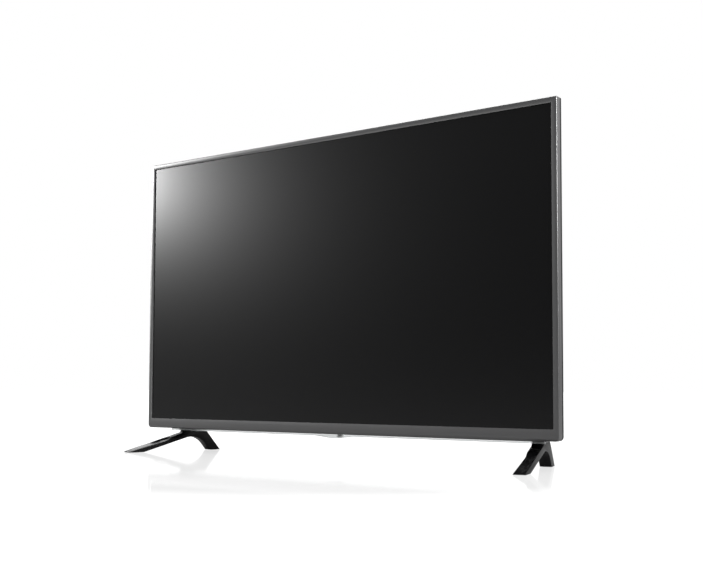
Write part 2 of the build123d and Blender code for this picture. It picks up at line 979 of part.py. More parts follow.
def chassis_section(d, side, foot, sheet):
    """One cross-section of the chassis tray, drawn in at the sides and the foot."""
    half = panel_half - side - sheet
    outline = panel((-half, half), (panel_bottom + foot + sheet, panel_top - side - sheet))
    return (upright_plane(d) * outline).face()


def chassis_tray():
    """A tray with an upright rim and sides that slope in to its floor."""
    knee = skirt_back + chassis_rim
    rim = chassis_section(skirt_back, 0, 0, 0)
    tray = extrude(rim, amount=-chassis_rim)
    tray += loft(
        [
            chassis_section(knee, 0, 0, 0),
            chassis_section(chassis_back, chassis_slope, chassis_foot_slope, 0),
        ],
        ruled=True,
    )
    sheet = chassis_sheet
    hollow = extrude(chassis_section(skirt_back, 0, 0, sheet), amount=-chassis_rim)
    hollow += loft(
        [
            chassis_section(knee, 0, 0, sheet),
            chassis_section(chassis_front, chassis_slope, chassis_foot_slope, sheet),
        ],
        ruled=True,
    )
    return tray - hollow


def source_spacer_blocks():
    """Raised pads on the chassis that carry the source boards."""
    front, _ = source_depths()
    low, high = source_heights()
    pads = []
    for side in (-1, 1):
        span = source_span(side)
        for x in (span[0] + source_spacer_width, span[1] - source_spacer_width):
            pads.append(block(around(x, source_spacer_width), (chassis_back, front), (low, high)))
    return pads


def make_rear_chassis():
    """A pressed steel tray with board standoffs and stiffening rails."""
    tray = chassis_tray()
    half = panel_half - rail_end_gap
    upper = mount_middle + mount_spacing / 2
    low, high = upper + insert_radius, well_places()[0][1] - well_radius - well_wall
    heights = [low + (high - low) * i / (upper_rails + 1) for i in range(1, upper_rails + 1)]
    for z in [upper - rail_offset] + heights:
        tray += chassis_rail(half, z)
    tray = tray.fuse(*source_spacer_blocks())
    for x, z in board_screw_places():
        tray += rod(x, z, (chassis_back, board_front), standoff_radius)
    holes = []
    for x, z in board_screw_places():
        hole = screw_radius + screw_hole_gap
        holes.append(rod(x, z, (chassis_front - overrun, board_front + overrun), hole))
    for x, z, _ in well_places():
        depth = (chassis_front - overrun, chassis_back + rail_height + overrun)
        holes.append(rod(x, z, depth, screw_radius + screw_hole_gap))
    keep("rear_chassis", holed(tray, holes))


def chassis_rail(half, z):
    """A hat-shaped stiffening rail."""
    hat = block((-half, half), (chassis_back, chassis_back + rail_height), around(z, rail_width))
    inner = (chassis_back - overrun, chassis_back + rail_height - chassis_sheet)
    width = rail_width - 2 * chassis_sheet
    return hat - block((-half - overrun, half + overrun), inner, around(z, width))


# Boards

board_screw_edge = 6.0
main_board_share = 0.432
main_board_height = 170.0
main_board_rise = 3.0
power_board_share = 0.4715
power_board_height = 190.0
power_board_inset_share = 0.373
timing_width = 180.0
timing_height = 56.0
timing_rise = 36.0
board_edge_gap = 1.0


def board_spans():
    """Each large board's extent, and that of the main board beside the rear bay."""
    main_x = bay_wall_x + cover_wall + board_edge_gap
    main_width = belly_half * main_board_share
    main_z = bay_bottom + main_board_rise - board_screw_edge
    power_x = belly_half * (1 - power_board_inset_share)
    power_width = belly_half * power_board_share
    open_x = rear_bay_right + cover_wall + board_edge_gap
    timing_z = panel_bottom + timing_rise
    return {
        "main": ((main_x, main_x + main_width), (main_z, main_z + main_board_height)),
        "open": ((open_x, main_x + main_width), (main_z, main_z + main_board_height)),
        "power": ((power_x - power_width, power_x), (main_z, main_z + power_board_height)),
        "timing": (around(0, timing_width), (timing_z, timing_z + timing_height)),
    }


def make_board(name, key):
    """A board with clearance holes for its four screws."""
    x, z = board_spans()[key]
    board = block(x, (board_front, board_back), z)
    holes = []
    for sx in (x[0] + board_screw_edge, x[1] - board_screw_edge):
        for sz in (z[0] + board_screw_edge, z[1] - board_screw_edge):
            depth = (board_front - overrun, board_back + overrun)
            holes.append(rod(sx, sz, depth, screw_radius + snug_gap))
    keep(name, holed(board, holes))


def make_board_screws():
    """The screws that hold the boards on their standoffs."""
    for x, z in board_screw_places():
        keep("board_screws", pan_screw(x, z, board_back, chassis_back))


def board_place(key, x_share, z_share):
    """A place on a board, across and up, by shares of the board's extent."""
    x, z = board_spans()[key]
    return x[0] + x_share * (x[1] - x[0]), z[0] + z_share * (z[1] - z[0])


def on_board(key, x_share, z_share, size, lift=0):
    """A block standing on a board, placed by shares of the board's extent."""
    middle_x, middle_z = board_place(key, x_share, z_share)
    front = board_back + lift
    return block(around(middle_x, size[0]), (front, front + size[1]), around(middle_z, size[2]))


def drum_on_board(key, x_share, z_share, radius, height):
    """A round can standing on a board."""
    middle_x, middle_z = board_place(key, x_share, z_share)
    can = rod(middle_x, middle_z, (board_back, board_back + height), radius)
    return fillet(can.faces().sort_by(Axis.Y)[-1].edges(), radius * can_edge_share)


core_width, core_height, core_depth = 34.0, 12.0, 22.0
winding_width, winding_depth = 20.0, 20.0
transformer_shares = ((0.44, 0.3), (0.44, 0.7), (0.2, 0.3))
capacitor_radius, capacitor_height = 11.0, 30.0
capacitor_shares = ((0.72, 0.3), (0.72, 0.44), (0.72, 0.58))
small_capacitor_radius, small_capacitor_height = 5.0, 16.0
small_capacitor_shares = ((0.12, 0.6), (0.12, 0.68), (0.19, 0.64), (0.12, 0.76))
sink_width, sink_depth, sink_height = 3.0, 28.0, 60.0
fin_reach, fin_count, fin_thickness = 9.0, 5, 1.4
sink_shares = ((0.58, 0.3), (0.58, 0.7), (0.3, 0.55))
choke_radius, choke_hole, choke_height = 13.0, 5.0, 14.0
film_capacitor_size = (18.0, 15.0, 9.0)
fuse_size = (22.0, 8.0, 7.0)
bridge_size = (6.0, 16.0, 22.0)
choke_shares = (0.88, 0.6)
film_capacitor_shares = (0.88, 0.4)
fuse_shares = (0.88, 0.25)
bridge_shares = (0.86, 0.8)
can_edge_share = 0.125
winding_gap = 4.0


def transformer(x_share, z_share):
    """A ferrite core round a wound bobbin."""
    core = on_board("power", x_share, z_share, (core_width, core_height, core_depth), winding_gap)
    bobbin = on_board("power", x_share, z_share, (winding_width, winding_depth, winding_depth), 0)
    return core.fuse(bobbin)


def heat_sink(x_share, z_share):
    """An upright plate with fins on one side."""
    plate = on_board("power", x_share, z_share, (sink_width, sink_depth, sink_height))
    x, z = board_place("power", x_share, z_share)
    pitch = (sink_height - fin_thickness) / (fin_count - 1)
    across, depth = (x, x + sink_width / 2 + fin_reach), (board_back, board_back + sink_depth)
    fins = []
    for fin_z in spread(z, pitch, fin_count):
        fins.append(block(across, depth, around(fin_z, fin_thickness)))
    return plate.fuse(*fins)


def make_power_board():
    """The power board and what stands on it."""
    make_board("power_board", "power")
    for x, z in transformer_shares:
        keep("power_transformers", transformer(x, z))
    for x, z in capacitor_shares:
        keep("power_capacitors", drum_on_board("power", x, z, capacitor_radius, capacitor_height))
    for x, z in small_capacitor_shares:
        can = drum_on_board("power", x, z, small_capacitor_radius, small_capacitor_height)
        keep("power_capacitors", can)
    for x, z in sink_shares:
        keep("power_heatsinks", heat_sink(x, z))
    choke = drum_on_board("power", *choke_shares, choke_radius, choke_height)
    x, z = board_place("power", *choke_shares)
    hole = (board_back - overrun, board_back + choke_height + overrun)
    keep("mains_filter", choke - rod(x, z, hole, choke_hole))
    keep("mains_filter", on_board("power", *film_capacitor_shares, film_capacitor_size))
    keep("mains_filter", on_board("power", *fuse_shares, fuse_size))
    keep("mains_filter", on_board("power", *bridge_shares, bridge_size))


chip_sizes = ((31.0, 1.8, 31.0), (13.0, 1.2, 9.0), (13.0, 1.2, 9.0), (12.0, 1.6, 18.0))
chip_shares = ((0.31, 0.55), (0.31, 0.78), (0.57, 0.62), (0.31, 0.3))
main_sink_size = (40.0, 3.0, 40.0)
main_fin_height, main_fin_thickness, main_fin_count = 12.0, 1.5, 7
tuner_size = (48.0, 10.0, 24.0)


def main_heat_sink():
    """A finned block on the processor."""
    lift = chip_sizes[0][1]
    sink = on_board("open", *chip_shares[0], main_sink_size, lift)
    x, z = board_place("open", *chip_shares[0])
    base = board_back + lift + main_sink_size[1]
    pitch = (main_sink_size[0] - main_fin_thickness) / (main_fin_count - 1)
    depth, height = (base, base + main_fin_height), around(z, main_sink_size[2])
    fins = []
    for fin_x in spread(x, pitch, main_fin_count):
        fins.append(block(around(fin_x, main_fin_thickness), depth, height))
    return sink.fuse(*fins)


def make_main_board():
    """The main board, its chips and its heat sink."""
    make_board("main_board", "main")
    for size, shares in zip(chip_sizes, chip_shares):
        keep("main_chips", on_board("open", *shares, size))
    keep("processor_heatsink", main_heat_sink())


shield_wall = 0.6
shield_height = 6.0
shield_inset = 14.0


def make_timing_board():
    """The screen's timing board under a pressed lid."""
    make_board("timing_board", "timing")
    x, z = board_spans()["timing"]
    outer_x = (x[0] + shield_inset, x[1] - shield_inset)
    outer_z = (z[0] + shield_inset, z[1] - shield_inset)
    inner_x = (outer_x[0] + shield_wall, outer_x[1] - shield_wall)
    inner_z = (outer_z[0] + shield_wall, outer_z[1] - shield_wall)
    lid = block(outer_x, (board_back, board_back + shield_height), outer_z)
    lid -= block(inner_x, (board_back - overrun, board_back + shield_height - shield_wall), inner_z)
    keep("timing_shield", lid)


driver_film_thickness = 0.3
driver_film_width = 34.0
driver_films_per_board = 5
driver_film_drop = 1.4
driver_film_lap = 2.5


def source_span(side):
    """A source board's extent across, on one side of the middle."""
    return sorted((side * source_middle_gap / 2, side * (panel_half - source_inset)))


def source_depths():
    """The front and back of the source boards."""
    front = chassis_back + source_spacer
    return front, front + source_thickness


def source_heights():
    """The lower and upper edges of the source boards."""
    low = panel_bottom + chassis_foot_slope + source_rise
    return low, low + source_height


def make_source_boards():
    """Two long boards behind the lower edge, with films that wrap to the glass."""
    low, high = source_heights()
    front, back = source_depths()
    for side in (-1, 1):
        span = source_span(side)
        keep("source_boards", block(span, (front, back), (low, high)))
        pitch = (span[1] - span[0]) / driver_films_per_board
        for x in spread((span[0] + span[1]) / 2, pitch, driver_films_per_board):
            keep("driver_films", driver_film(x, low, back, driver_film_thickness))


def driver_film(x, low, back, thin):
    """One film from the glass's lower edge, under the chassis, to a source board."""
    across = around(x, driver_film_width)
    base = panel_bottom - driver_film_drop
    front = glass_front - thin
    glass_low = screen_bottom - glass_lap
    film = block(across, (front, glass_front), (base - thin, glass_low + driver_film_lap))
    film += block(across, (front, back + thin), (base - thin, base))
    film += block(across, (back, back + thin), (base - thin, low + driver_film_lap * 2))
    return film


# Connectors

hdmi_size = (12.0, 5.6, 15.0)
usb_size = (14.0, 6.6, 13.2)
tongue_thickness = 1.6
socket_wall = 0.5
headphone_size = (12.0, 8.0, 8.0)
headphone_bore = 1.8
optical_size = (13.5, 9.6)
optical_bore = 3.2
lan_size = (16.0, 13.0)
lan_port = (11.8, 8.0)
lan_port_depth = 10.5
av_radius, av_bore, av_reach, av_base = 4.2, 1.7, 9.0, 9.6
aerial_radius, aerial_bore, aerial_reach = 4.75, 1.2, 8.0
hdmi_shares = (0.14, 0.34, 0.54)
usb_share = 0.72
headphone_share = 0.88
rear_column_share = 0.5
aerial_share = 0.12
lan_share = 0.33
optical_share = 0.48
av_shares = (0.62, 0.75, 0.88)
socket_recess = 1.0
tongue_margin = 1.5


def side_socket_height(share):
    """The height of a side socket's middle."""
    _, _, z = side_window()
    return z[0] + share * (z[1] - z[0])


def rear_socket_place(share):
    """Across and up: the middle of a rear socket."""
    x, _, z = rear_window()
    middle = x[0] + rear_column_share * (x[1] - x[0])
    return middle, z[0] + share * (z[1] - z[0])


def side_socket_block(size, share, grow):
    """The outer block of a socket that faces the side bay."""
    mouth = bay_wall_x + socket_recess - grow
    depth = (board_back - grow, board_back + size[1] + grow)
    z = side_socket_height(share)
    return block((mouth - grow, mouth + size[0] + grow), depth, around(z, size[2] + 2 * grow))


def side_socket_blocks(grow):
    """Cutters for every side socket."""
    blocks = [side_socket_block(hdmi_size, share, grow) for share in hdmi_shares]
    blocks.append(side_socket_block(usb_size, usb_share, grow))
    blocks.append(side_socket_block(headphone_size, headphone_share, grow))
    return blocks


def tongue_socket(size, share):
    """A thin shell round a flat tongue, open towards the side bay."""
    body = side_socket_block(size, share, 0)
    mouth = bay_wall_x + socket_recess
    z = side_socket_height(share)
    wall = socket_wall
    hollow = (board_back + wall, board_back + size[1] - wall)
    height = size[2] - 2 * wall
    body -= block((mouth - overrun, mouth + size[0] - 2 * wall), hollow, around(z, height))
    middle = (hollow[0] + hollow[1]) / 2
    tongue = (mouth + 2 * wall, mouth + size[0] - wall)
    height -= 2 * tongue_margin
    return body + block(tongue, around(middle, tongue_thickness), around(z, height))


def make_side_sockets():
    """HDMI, USB and headphone sockets on the main board's edge."""
    for share in hdmi_shares:
        keep("hdmi_sockets", tongue_socket(hdmi_size, share))
    keep("usb_socket", tongue_socket(usb_size, usb_share))
    body = side_socket_block(headphone_size, headphone_share, 0)
    mouth = bay_wall_x + socket_recess
    z = side_socket_height(headphone_share)
    bore = (mouth - overrun, mouth + headphone_size[0] - 2 * socket_wall)
    depth = board_back + headphone_size[1] / 2
    keep("audio_sockets", body - cross_bar(bore, depth, z, headphone_bore))


def rear_face():
    """The depth that the rear sockets' faces reach."""
    return rear_bay_depth - plate_thickness / 2


def rear_socket_cutters(grow):
    """Cutters in the rear plate for every rear socket."""
    deep = (rear_bay_depth - cover_wall - overrun, rear_bay_depth + overrun)
    cutters = []
    x, z = rear_socket_place(aerial_share)
    cutters.append(rod(x, z, deep, aerial_radius + grow))
    for size, share in ((lan_size, lan_share), (optical_size, optical_share)):
        x, z = rear_socket_place(share)
        cutters.append(block(around(x, size[0] + 2 * grow), deep, around(z, size[1] + 2 * grow)))
    for share in av_shares:
        x, z = rear_socket_place(share)
        cutters.append(rod(x, z, deep, av_radius + grow))
    return cutters


def make_rear_sockets():
    """Aerial, network, optical and AV sockets that face the rear bay."""
    inner = rear_bay_depth - cover_wall
    x, z = rear_socket_place(aerial_share)
    top, tip = board_back + tuner_size[1], rear_bay_depth + aerial_reach
    can = block(around(x, tuner_size[0]), (board_back, top), around(z, tuner_size[2]))
    collar = rod(x, z, (top - socket_wall, tip), aerial_radius)
    keep("tuner", can + collar - rod(x, z, (top, tip + overrun), aerial_bore))
    x, z = rear_socket_place(lan_share)
    body = block(around(x, lan_size[0]), (board_back, rear_face()), around(z, lan_size[1]))
    port = (rear_face() - lan_port_depth, rear_face() + overrun)
    keep("network_socket", body - block(around(x, lan_port[0]), port, around(z, lan_port[1])))
    x, z = rear_socket_place(optical_share)
    body = block(around(x, optical_size[0]), (board_back, rear_face()), around(z, optical_size[1]))
    port = (rear_face() - optical_size[1] / 2, rear_face() + overrun)
    keep("audio_sockets", body - rod(x, z, port, optical_bore))
    for share in av_shares:
        x, z = rear_socket_place(share)
        base = block(around(x, av_base), (board_back, inner), around(z, av_base))
        barrel = rod(x, z, (inner - socket_wall, rear_bay_depth + av_reach), av_radius)
        bore = rod(x, z, (inner, rear_bay_depth + av_reach + overrun), av_bore)
        keep("av_sockets", base + barrel - bore)


inlet_width, inlet_height = 22.0, 13.0
inlet_cup_width, inlet_cup_height = 16.0, 8.4
inlet_cup_depth = 11.0
inlet_pin_radius, inlet_pin_pitch = 1.2, 8.6
inlet_flange = 2.0
inlet_flange_reach = 5.0


def make_mains_inlet():
    """A two-pin mains inlet in the floor of its own bay."""
    x, z = mains_bay_x, mains_bay_z
    back = rear_bay_depth + inlet_flange
    front = back - inlet_cup_depth - 2 * inlet_flange
    body = block(around(x, inlet_width), (front, back), around(z, inlet_height))
    reach_x, reach_z = inlet_width + 2 * inlet_flange_reach, inlet_height + inlet_flange_reach
    body += block(around(x, reach_x), (rear_bay_depth, back), around(z, reach_z))
    cup = Pos(x, z) * SlotOverall(inlet_cup_width, inlet_cup_height)
    body -= slab(cup, (back - inlet_cup_depth, back + overrun))
    for pin in spread(x, inlet_pin_pitch, 2):
        body += rod(pin, z, (front + inlet_flange / 2, back - inlet_flange), inlet_pin_radius)
    keep("mains_inlet", body)


# Speakers

speaker_length = 150.0
speaker_inset = 175.0
speaker_tall = 40.0
speaker_deep = 36.0
speaker_wall = 2.0
speaker_corner = 3.0
driver_hole_radius = 13.0
cone_radius = 12.8
cone_core_radius = 7.0
cone_depth = 9.0
cone_skin = 0.8
magnet_radius = 10.0
magnet_height = 8.0
bush_radius = 5.0
bush_height = 1.2
bush_edge = 8.0
speaker_middle = belly_half - speaker_inset
speaker_depth = belly_inner_back - speaker_deep / 2 - loose_gap


def make_speaker(side, name):
    """A closed speaker box on rubber bushes, with its driver facing down."""
    x = side * speaker_middle
    low = belly_floor + bush_height
    high = low + speaker_tall
    across, depth = around(x, speaker_length), around(speaker_depth, speaker_deep)
    box = block(across, depth, (low, high))
    box = fillet(box.edges().filter_by(Axis.Z), speaker_corner)
    wall = speaker_wall
    hollow_length, hollow_deep = speaker_length - 2 * wall, speaker_deep - 2 * wall
    height = (low + wall, high - wall)
    box -= block(around(x, hollow_length), around(speaker_depth, hollow_deep), height)
    box -= post(x, speaker_depth, (low - overrun, low + wall + overrun), driver_hole_radius)
    keep(name, box)
    keep("speaker_drivers", speaker_driver(x, low))
    for bx in (across[0] + bush_edge, across[1] - bush_edge):
        for bd in (depth[0] + bush_edge, depth[1] - bush_edge):
            keep("speaker_bushes", post(bx, bd, (belly_floor, low), bush_radius))


def speaker_driver(x, low):
    """A paper cone on a round magnet, seated inside the box's hole."""
    wall = speaker_wall
    base = low + wall
    seat = post(x, speaker_depth, (base, base + cone_skin), driver_hole_radius + wall)
    seat -= post(x, speaker_depth, (base - overrun, base + overrun), cone_radius - cone_skin)
    middle = base + cone_skin + cone_depth / 2
    place = Pos(x, front_y + speaker_depth, middle)
    cone = place * Cone(cone_radius, cone_core_radius, cone_depth)
    cone -= place * Cone(cone_radius - cone_skin, cone_core_radius - cone_skin, cone_depth)
    top = base + cone_skin + cone_depth
    magnet = post(x, speaker_depth, (top, top + magnet_height), magnet_radius)
    return seat + cone + magnet


# Joystick and sensor board under the middle of the belly

pivot_rise = 4.8
housing_half = 14.0
housing_height = 9.8
housing_bore = 10.5
gimbal_outer = 9.0
gimbal_inner = 6.5
gimbal_height = 4.0
trunnion_radius = 1.2
gimbal_pin_reach = 3.4
stem_radius = 2.6
stem_foot_radius = 2.0
stem_above = 3.2
stem_below = 11.0
cap_radius = 6.0
cap_top_gap = 1.2
cap_height = 4.6
cap_bore_gap = 0.9
cap_round = 1.4
sensor_width = 68.0
sensor_front_gap = 2.0
receiver_size = (8.0, 5.5)
lamp_size = (3.0, 2.4)
receiver_drop = 3.6
lamp_drop = 1.8

pivot_z = belly_floor + pivot_rise
housing_top = belly_floor + housing_height


def make_joystick_housing():
    """A block with an upright bore and bearings for the gimbal's pins."""
    depth = around(joystick_depth, 2 * housing_half)
    body = block((-housing_half, housing_half), depth, (belly_floor, housing_top))
    body -= post(0, joystick_depth, (belly_floor - overrun, housing_top + overrun), housing_bore)
    reach = gimbal_outer + gimbal_pin_reach + loose_gap
    body -= cross_bar((-reach, reach), joystick_depth, pivot_z, trunnion_radius + running_gap)
    keep("joystick_housing", body)


def make_joystick_gimbal():
    """A ring that tilts to and fro on two pins."""
    height = around(pivot_z, gimbal_height)
    body = post(0, joystick_depth, height, gimbal_outer)
    reach = gimbal_outer + gimbal_pin_reach
    body += cross_bar((-reach, reach), joystick_depth, pivot_z, trunnion_radius)
    body -= post(0, joystick_depth, (height[0] - overrun, height[1] + overrun), gimbal_inner)
    bearing = trunnion_radius + running_gap
    body -= rod(0, pivot_z, around(joystick_depth, 2 * gimbal_outer + overrun), bearing)
    keep("joystick_gimbal", body)


def make_joystick_stem():
    """An upright stem that tilts from side to side inside the ring."""
    low = pivot_z - stem_below
    body = post(0, joystick_depth, (pivot_z - gimbal_height, pivot_z + stem_above), stem_radius)
    body += post(0, joystick_depth, (low, pivot_z), stem_foot_radius)
    reach = (gimbal_outer - loose_gap) * 2
    body += rod(0, pivot_z, around(joystick_depth, reach), trunnion_radius)
    keep("joystick_stem", body)


def make_joystick_cap():
    """A round button that slides on the stem's foot."""
    top = belly_bottom - cap_top_gap
    low = top - cap_height
    body = post(0, joystick_depth, (low, top), cap_radius)
    body = fillet(body.faces().sort_by(Axis.Z)[0].edges(), cap_round)
    foot = pivot_z - stem_below
    bore = (foot - cap_bore_gap, top + overrun)
    keep("joystick_cap", body - post(0, joystick_depth, bore, stem_foot_radius + running_gap))


def make_sensor_board():
    """A small board over the joystick, with the remote receiver and power light."""
    front = belly_lip_depth + sensor_front_gap
    back = joystick_depth + housing_half
    height = (housing_top, housing_top + board_thickness)
    keep("sensor_board", block(around(0, sensor_width), (front, back), height))
    reach = trim_slot_length / 4
    depth = trim_depth + receiver_size[1] / 2
    drop = (housing_top - receiver_drop, housing_top)
    receiver = block(around(-reach, receiver_size[0]), around(depth, receiver_size[1]), drop)
    keep("remote_receiver", receiver)
    drop = (housing_top - lamp_drop, housing_top)
    keep("power_light", block(around(reach, lamp_size[0]), around(depth, lamp_size[1]), drop))


# Wiring inside the case

harness_radius = 2.5
lead_radius = 1.2
arc_share = 0.45
ribbon_thickness = 0.4
ribbon_width = 22.0
panel_ribbon_width = 16.0
ribbon_rise = 24.0


def wire(points, radius):
    """A round lead along straight runs joined by tangent arcs."""
    placed = [Vector(x, front_y + d, z) for x, d, z in points]
    radii = []
    for a, b, c in zip(placed, placed[1:], placed[2:]):
        turn = radians((b - a).get_angle(c - b))
        radii.append(arc_share * min((b - a).length, (c - b).length) / tan(turn / 2))
    if min(radii) < 2 * radius:
        raise ValueError(f"a lead turns too sharply: {radii}")
    print(f"lead {2 * radius} mm thick, bend radii:", [round(r, 1) for r in radii])
    path = FilletPolyline(*placed, radius=radii)
    start = Plane(origin=placed[0], z_dir=placed[1] - placed[0])
    return sweep(start * Circle(radius), path=path)


def make_display_ribbon():
    """A flat cable from the main board, folded down to the timing board."""
    _, main_z = board_spans()["main"]
    main_x, _ = board_place("main", mains_plug_share, 0)
    timing_x, timing_z = board_spans()["timing"]
    deep = board_back + shield_height
    thin = ribbon_thickness
    drop = around(timing_x[0] + ribbon_width, ribbon_width)
    low = timing_z[1] - shield_inset / 2
    base = main_z[0] + ribbon_rise
    level = (base, base + ribbon_width)
    ends = (min(main_x, drop[0]), max(main_x, drop[1]))
    strip = block(ends, (deep, deep + thin), level)
    strip += block(drop, (deep, deep + thin), (low, level[1]))
    strip += block((main_x - thin, main_x), (board_back, deep + thin), level)
    strip += block(drop, (board_back, deep + thin), (low - thin, low))
    keep("ribbons", strip)


def make_panel_ribbons():
    """Flat cables from the timing board down to both source boards."""
    _, timing_z = board_spans()["timing"]
    thin = ribbon_thickness
    _, back = source_depths()
    top = timing_z[0] + shield_inset / 2
    base = source_heights()[1] - shield_inset / 2
    for side in (-1, 1):
        across = around(side * (timing_width / 2 - 2 * panel_ribbon_width), panel_ribbon_width)
        strip = block(across, (board_back, board_back + thin), (base, top))
        strip += block(across, (back, board_back + thin), (base - thin, base))
        keep("ribbons", strip)


plug_size = (14.0, 8.0, 9.0)
lead_depth = 4.0
left_plug_share = 0.2
right_lead_gap = 39.0
sensor_lead_gap = 88.0
backlight_side_gap = 18.0
backlight_seat = 30.0
harness_share = 0.46
mains_plug_share = 0.94
edge_plug_share = 0.035
sag = 8.0


def add_plug(x, z):
    """A wire plug on a board."""
    depth = (board_back, board_back + plug_size[1])
    keep("wire_plugs", block(around(x, plug_size[0]), depth, around(z, plug_size[2])))


def plug_place(key, x_share, z_share):
    """A wire plug placed by shares of its board: its middle across and up."""
    x, z = board_place(key, x_share, z_share)
    add_plug(x, z)
    return x, z


def edge_plug(key, x):
    """A wire plug on a board's lower edge: the height where its lead leaves it."""
    _, z = board_place(key, 0, edge_plug_share)
    add_plug(x, z)
    return z - plug_size[2] / 2


def make_supply_leads():
    """Leads from the power board to the main board and to the mains inlet."""
    deep = board_back + lead_depth
    x0, z0 = plug_place("main", mains_plug_share, harness_share)
    x1, z1 = plug_place("power", 1 - mains_plug_share, harness_share)
    x0, x1 = x0 + plug_size[0] / 2, x1 - plug_size[0] / 2
    run = (x1 - x0) / 4
    route = [
        (x0, deep, z0),
        (x0 + run / 2, deep, z0),
        (x0 + run, deep, z0 - sag),
        (x1 - run, deep, z1 - sag),
        (x1 - run / 2, deep, z1),
        (x1, deep, z1),
    ]
    keep("power_leads", wire(route, harness_radius))
    x0, z0 = plug_place("power", mains_plug_share, 3 * edge_plug_share)
    x0, x1 = x0 + plug_size[0] / 2, mains_bay_x - inlet_width / 2
    run = (x1 - x0) / 3
    z1 = mains_bay_z
    route = [(x0, deep, z0), (x0 + run, deep, z0), (x1 - run, deep, z1), (x1, deep, z1)]
    keep("power_leads", wire(route, harness_radius))


def make_backlight_lead():
    """A lead from the power board's edge to a plug on the chassis."""
    deep = board_back + lead_depth
    x = timing_width / 2 + backlight_side_gap
    top = edge_plug("power", x)
    seat = top - backlight_seat
    across = around(x, plug_size[0])
    keep("wire_plugs", block(across, (chassis_back, deep), (seat - plug_size[2], seat)))
    under = deep - 2 * lead_radius
    run = backlight_seat / 3
    route = [(x, deep, top), (x, deep, top - run), (x, under, seat + run), (x, under, seat)]
    keep("power_leads", wire(route, lead_radius))


def make_left_speaker_lead():
    """A lead from the main board's lower edge down to the left speaker box."""
    deep = board_back + lead_depth
    x, _ = board_place("main", left_plug_share, 0)
    top = edge_plug("main", x)
    speaker_top = belly_floor + bush_height + speaker_tall
    drop = (top - speaker_top) / 3
    end_x, end_d = x - drop / 2, speaker_depth - drop / 4
    route = [
        (x, deep, top),
        (x, deep, top - drop),
        (end_x, end_d, speaker_top + drop),
        (end_x, end_d, speaker_top),
    ]
    keep("signal_leads", wire(route, lead_radius))


def make_right_speaker_lead():
    """A lead from the main board, along the chassis, to the right speaker box."""
    deep = board_back + lead_depth
    sheet = chassis_back + lead_radius
    x = -timing_width / 2 - right_lead_gap
    top = edge_plug("main", x)
    speaker_top = belly_floor + bush_height + speaker_tall
    gutter = (source_heights()[1] + board_spans()["timing"][1][0]) / 2
    drop = (top - gutter) / 3
    end_x = speaker_middle - speaker_length / 4
    route = [
        (x, deep, top),
        (x, deep, top - drop),
        (x, sheet, gutter + drop),
        (x + drop, sheet, gutter),
        (end_x - drop, sheet, gutter),
        (end_x, sheet + sag, gutter + sag),
        (end_x + sag, speaker_depth, speaker_top + 2 * sag),
        (end_x + sag, speaker_depth, speaker_top),
    ]
    keep("signal_leads", wire(route, lead_radius))


def make_sensor_lead():
    """A lead from the main board down to the sensor board."""
    deep = board_back + lead_depth
    x = -timing_width / 2 - sensor_lead_gap
    top = edge_plug("main", x)
    end_x = sag - sensor_width / 2
    sensor_top = housing_top + board_thickness
    drop = (top - sensor_top) / 4
    run = (end_x - x) / 3
    route = [
        (x, deep, top),
        (x, deep, top - drop / 2),
        (x + run, joystick_depth, top - 2 * drop),
        (end_x - run, joystick_depth, sensor_top + drop),
        (end_x, joystick_depth, sensor_top + drop / 2),
        (end_x, joystick_depth, sensor_top),
    ]
    keep("signal_leads", wire(route, lead_radius))


make_front_bezel()
make_back_cover()
make_jack_plates()
make_cable_holder()
make_cover_screws()
make_wall_mount_inserts()
make_foot(-1, "left_foot")
make_foot(1, "right_foot")
make_foot_screws()
make_foot_pads()
make_foot_bracket(-1)
make_foot_bracket(1)
make_clear_trim()
make_screen()
make_reflector()
make_lights()
make_rear_chassis()
make_board_screws()
make_power_board()
make_main_board()
make_timing_board()
make_source_boards()
make_side_sockets()
make_rear_sockets()
make_mains_inlet()
make_speaker(-1, "left_speaker_box")
make_speaker(1, "right_speaker_box")
make_joystick_housing()
make_joystick_gimbal()
make_joystick_stem()
make_joystick_cap()
make_sensor_board()
make_display_ribbon()
make_panel_ribbons()
make_supply_leads()
make_backlight_lead()
make_left_speaker_lead()
make_right_speaker_lead()
make_sensor_lead()

os.makedirs("parts", exist_ok=True)
for name, solids in parts.items():
    whole = Compound(children=[s for group in solids for s in group.solids()])
    export_step(whole, f"parts/{name}.step")
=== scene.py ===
# %% [markdown]
# # A flat screen television in a white studio
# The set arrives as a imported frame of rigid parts, made in CAD. Blender adds what the eye
# reads: softened edges, real fasteners, pins and rings in the sockets, and a finish for every
# part. Everything is in metres. X runs to the viewer's right, Y into the set and Z up, and
# the origin lies on the floor at the middle of the footprint.

import json
from math import cos, radians, sin

import bpy
from mathutils import Matrix, Vector

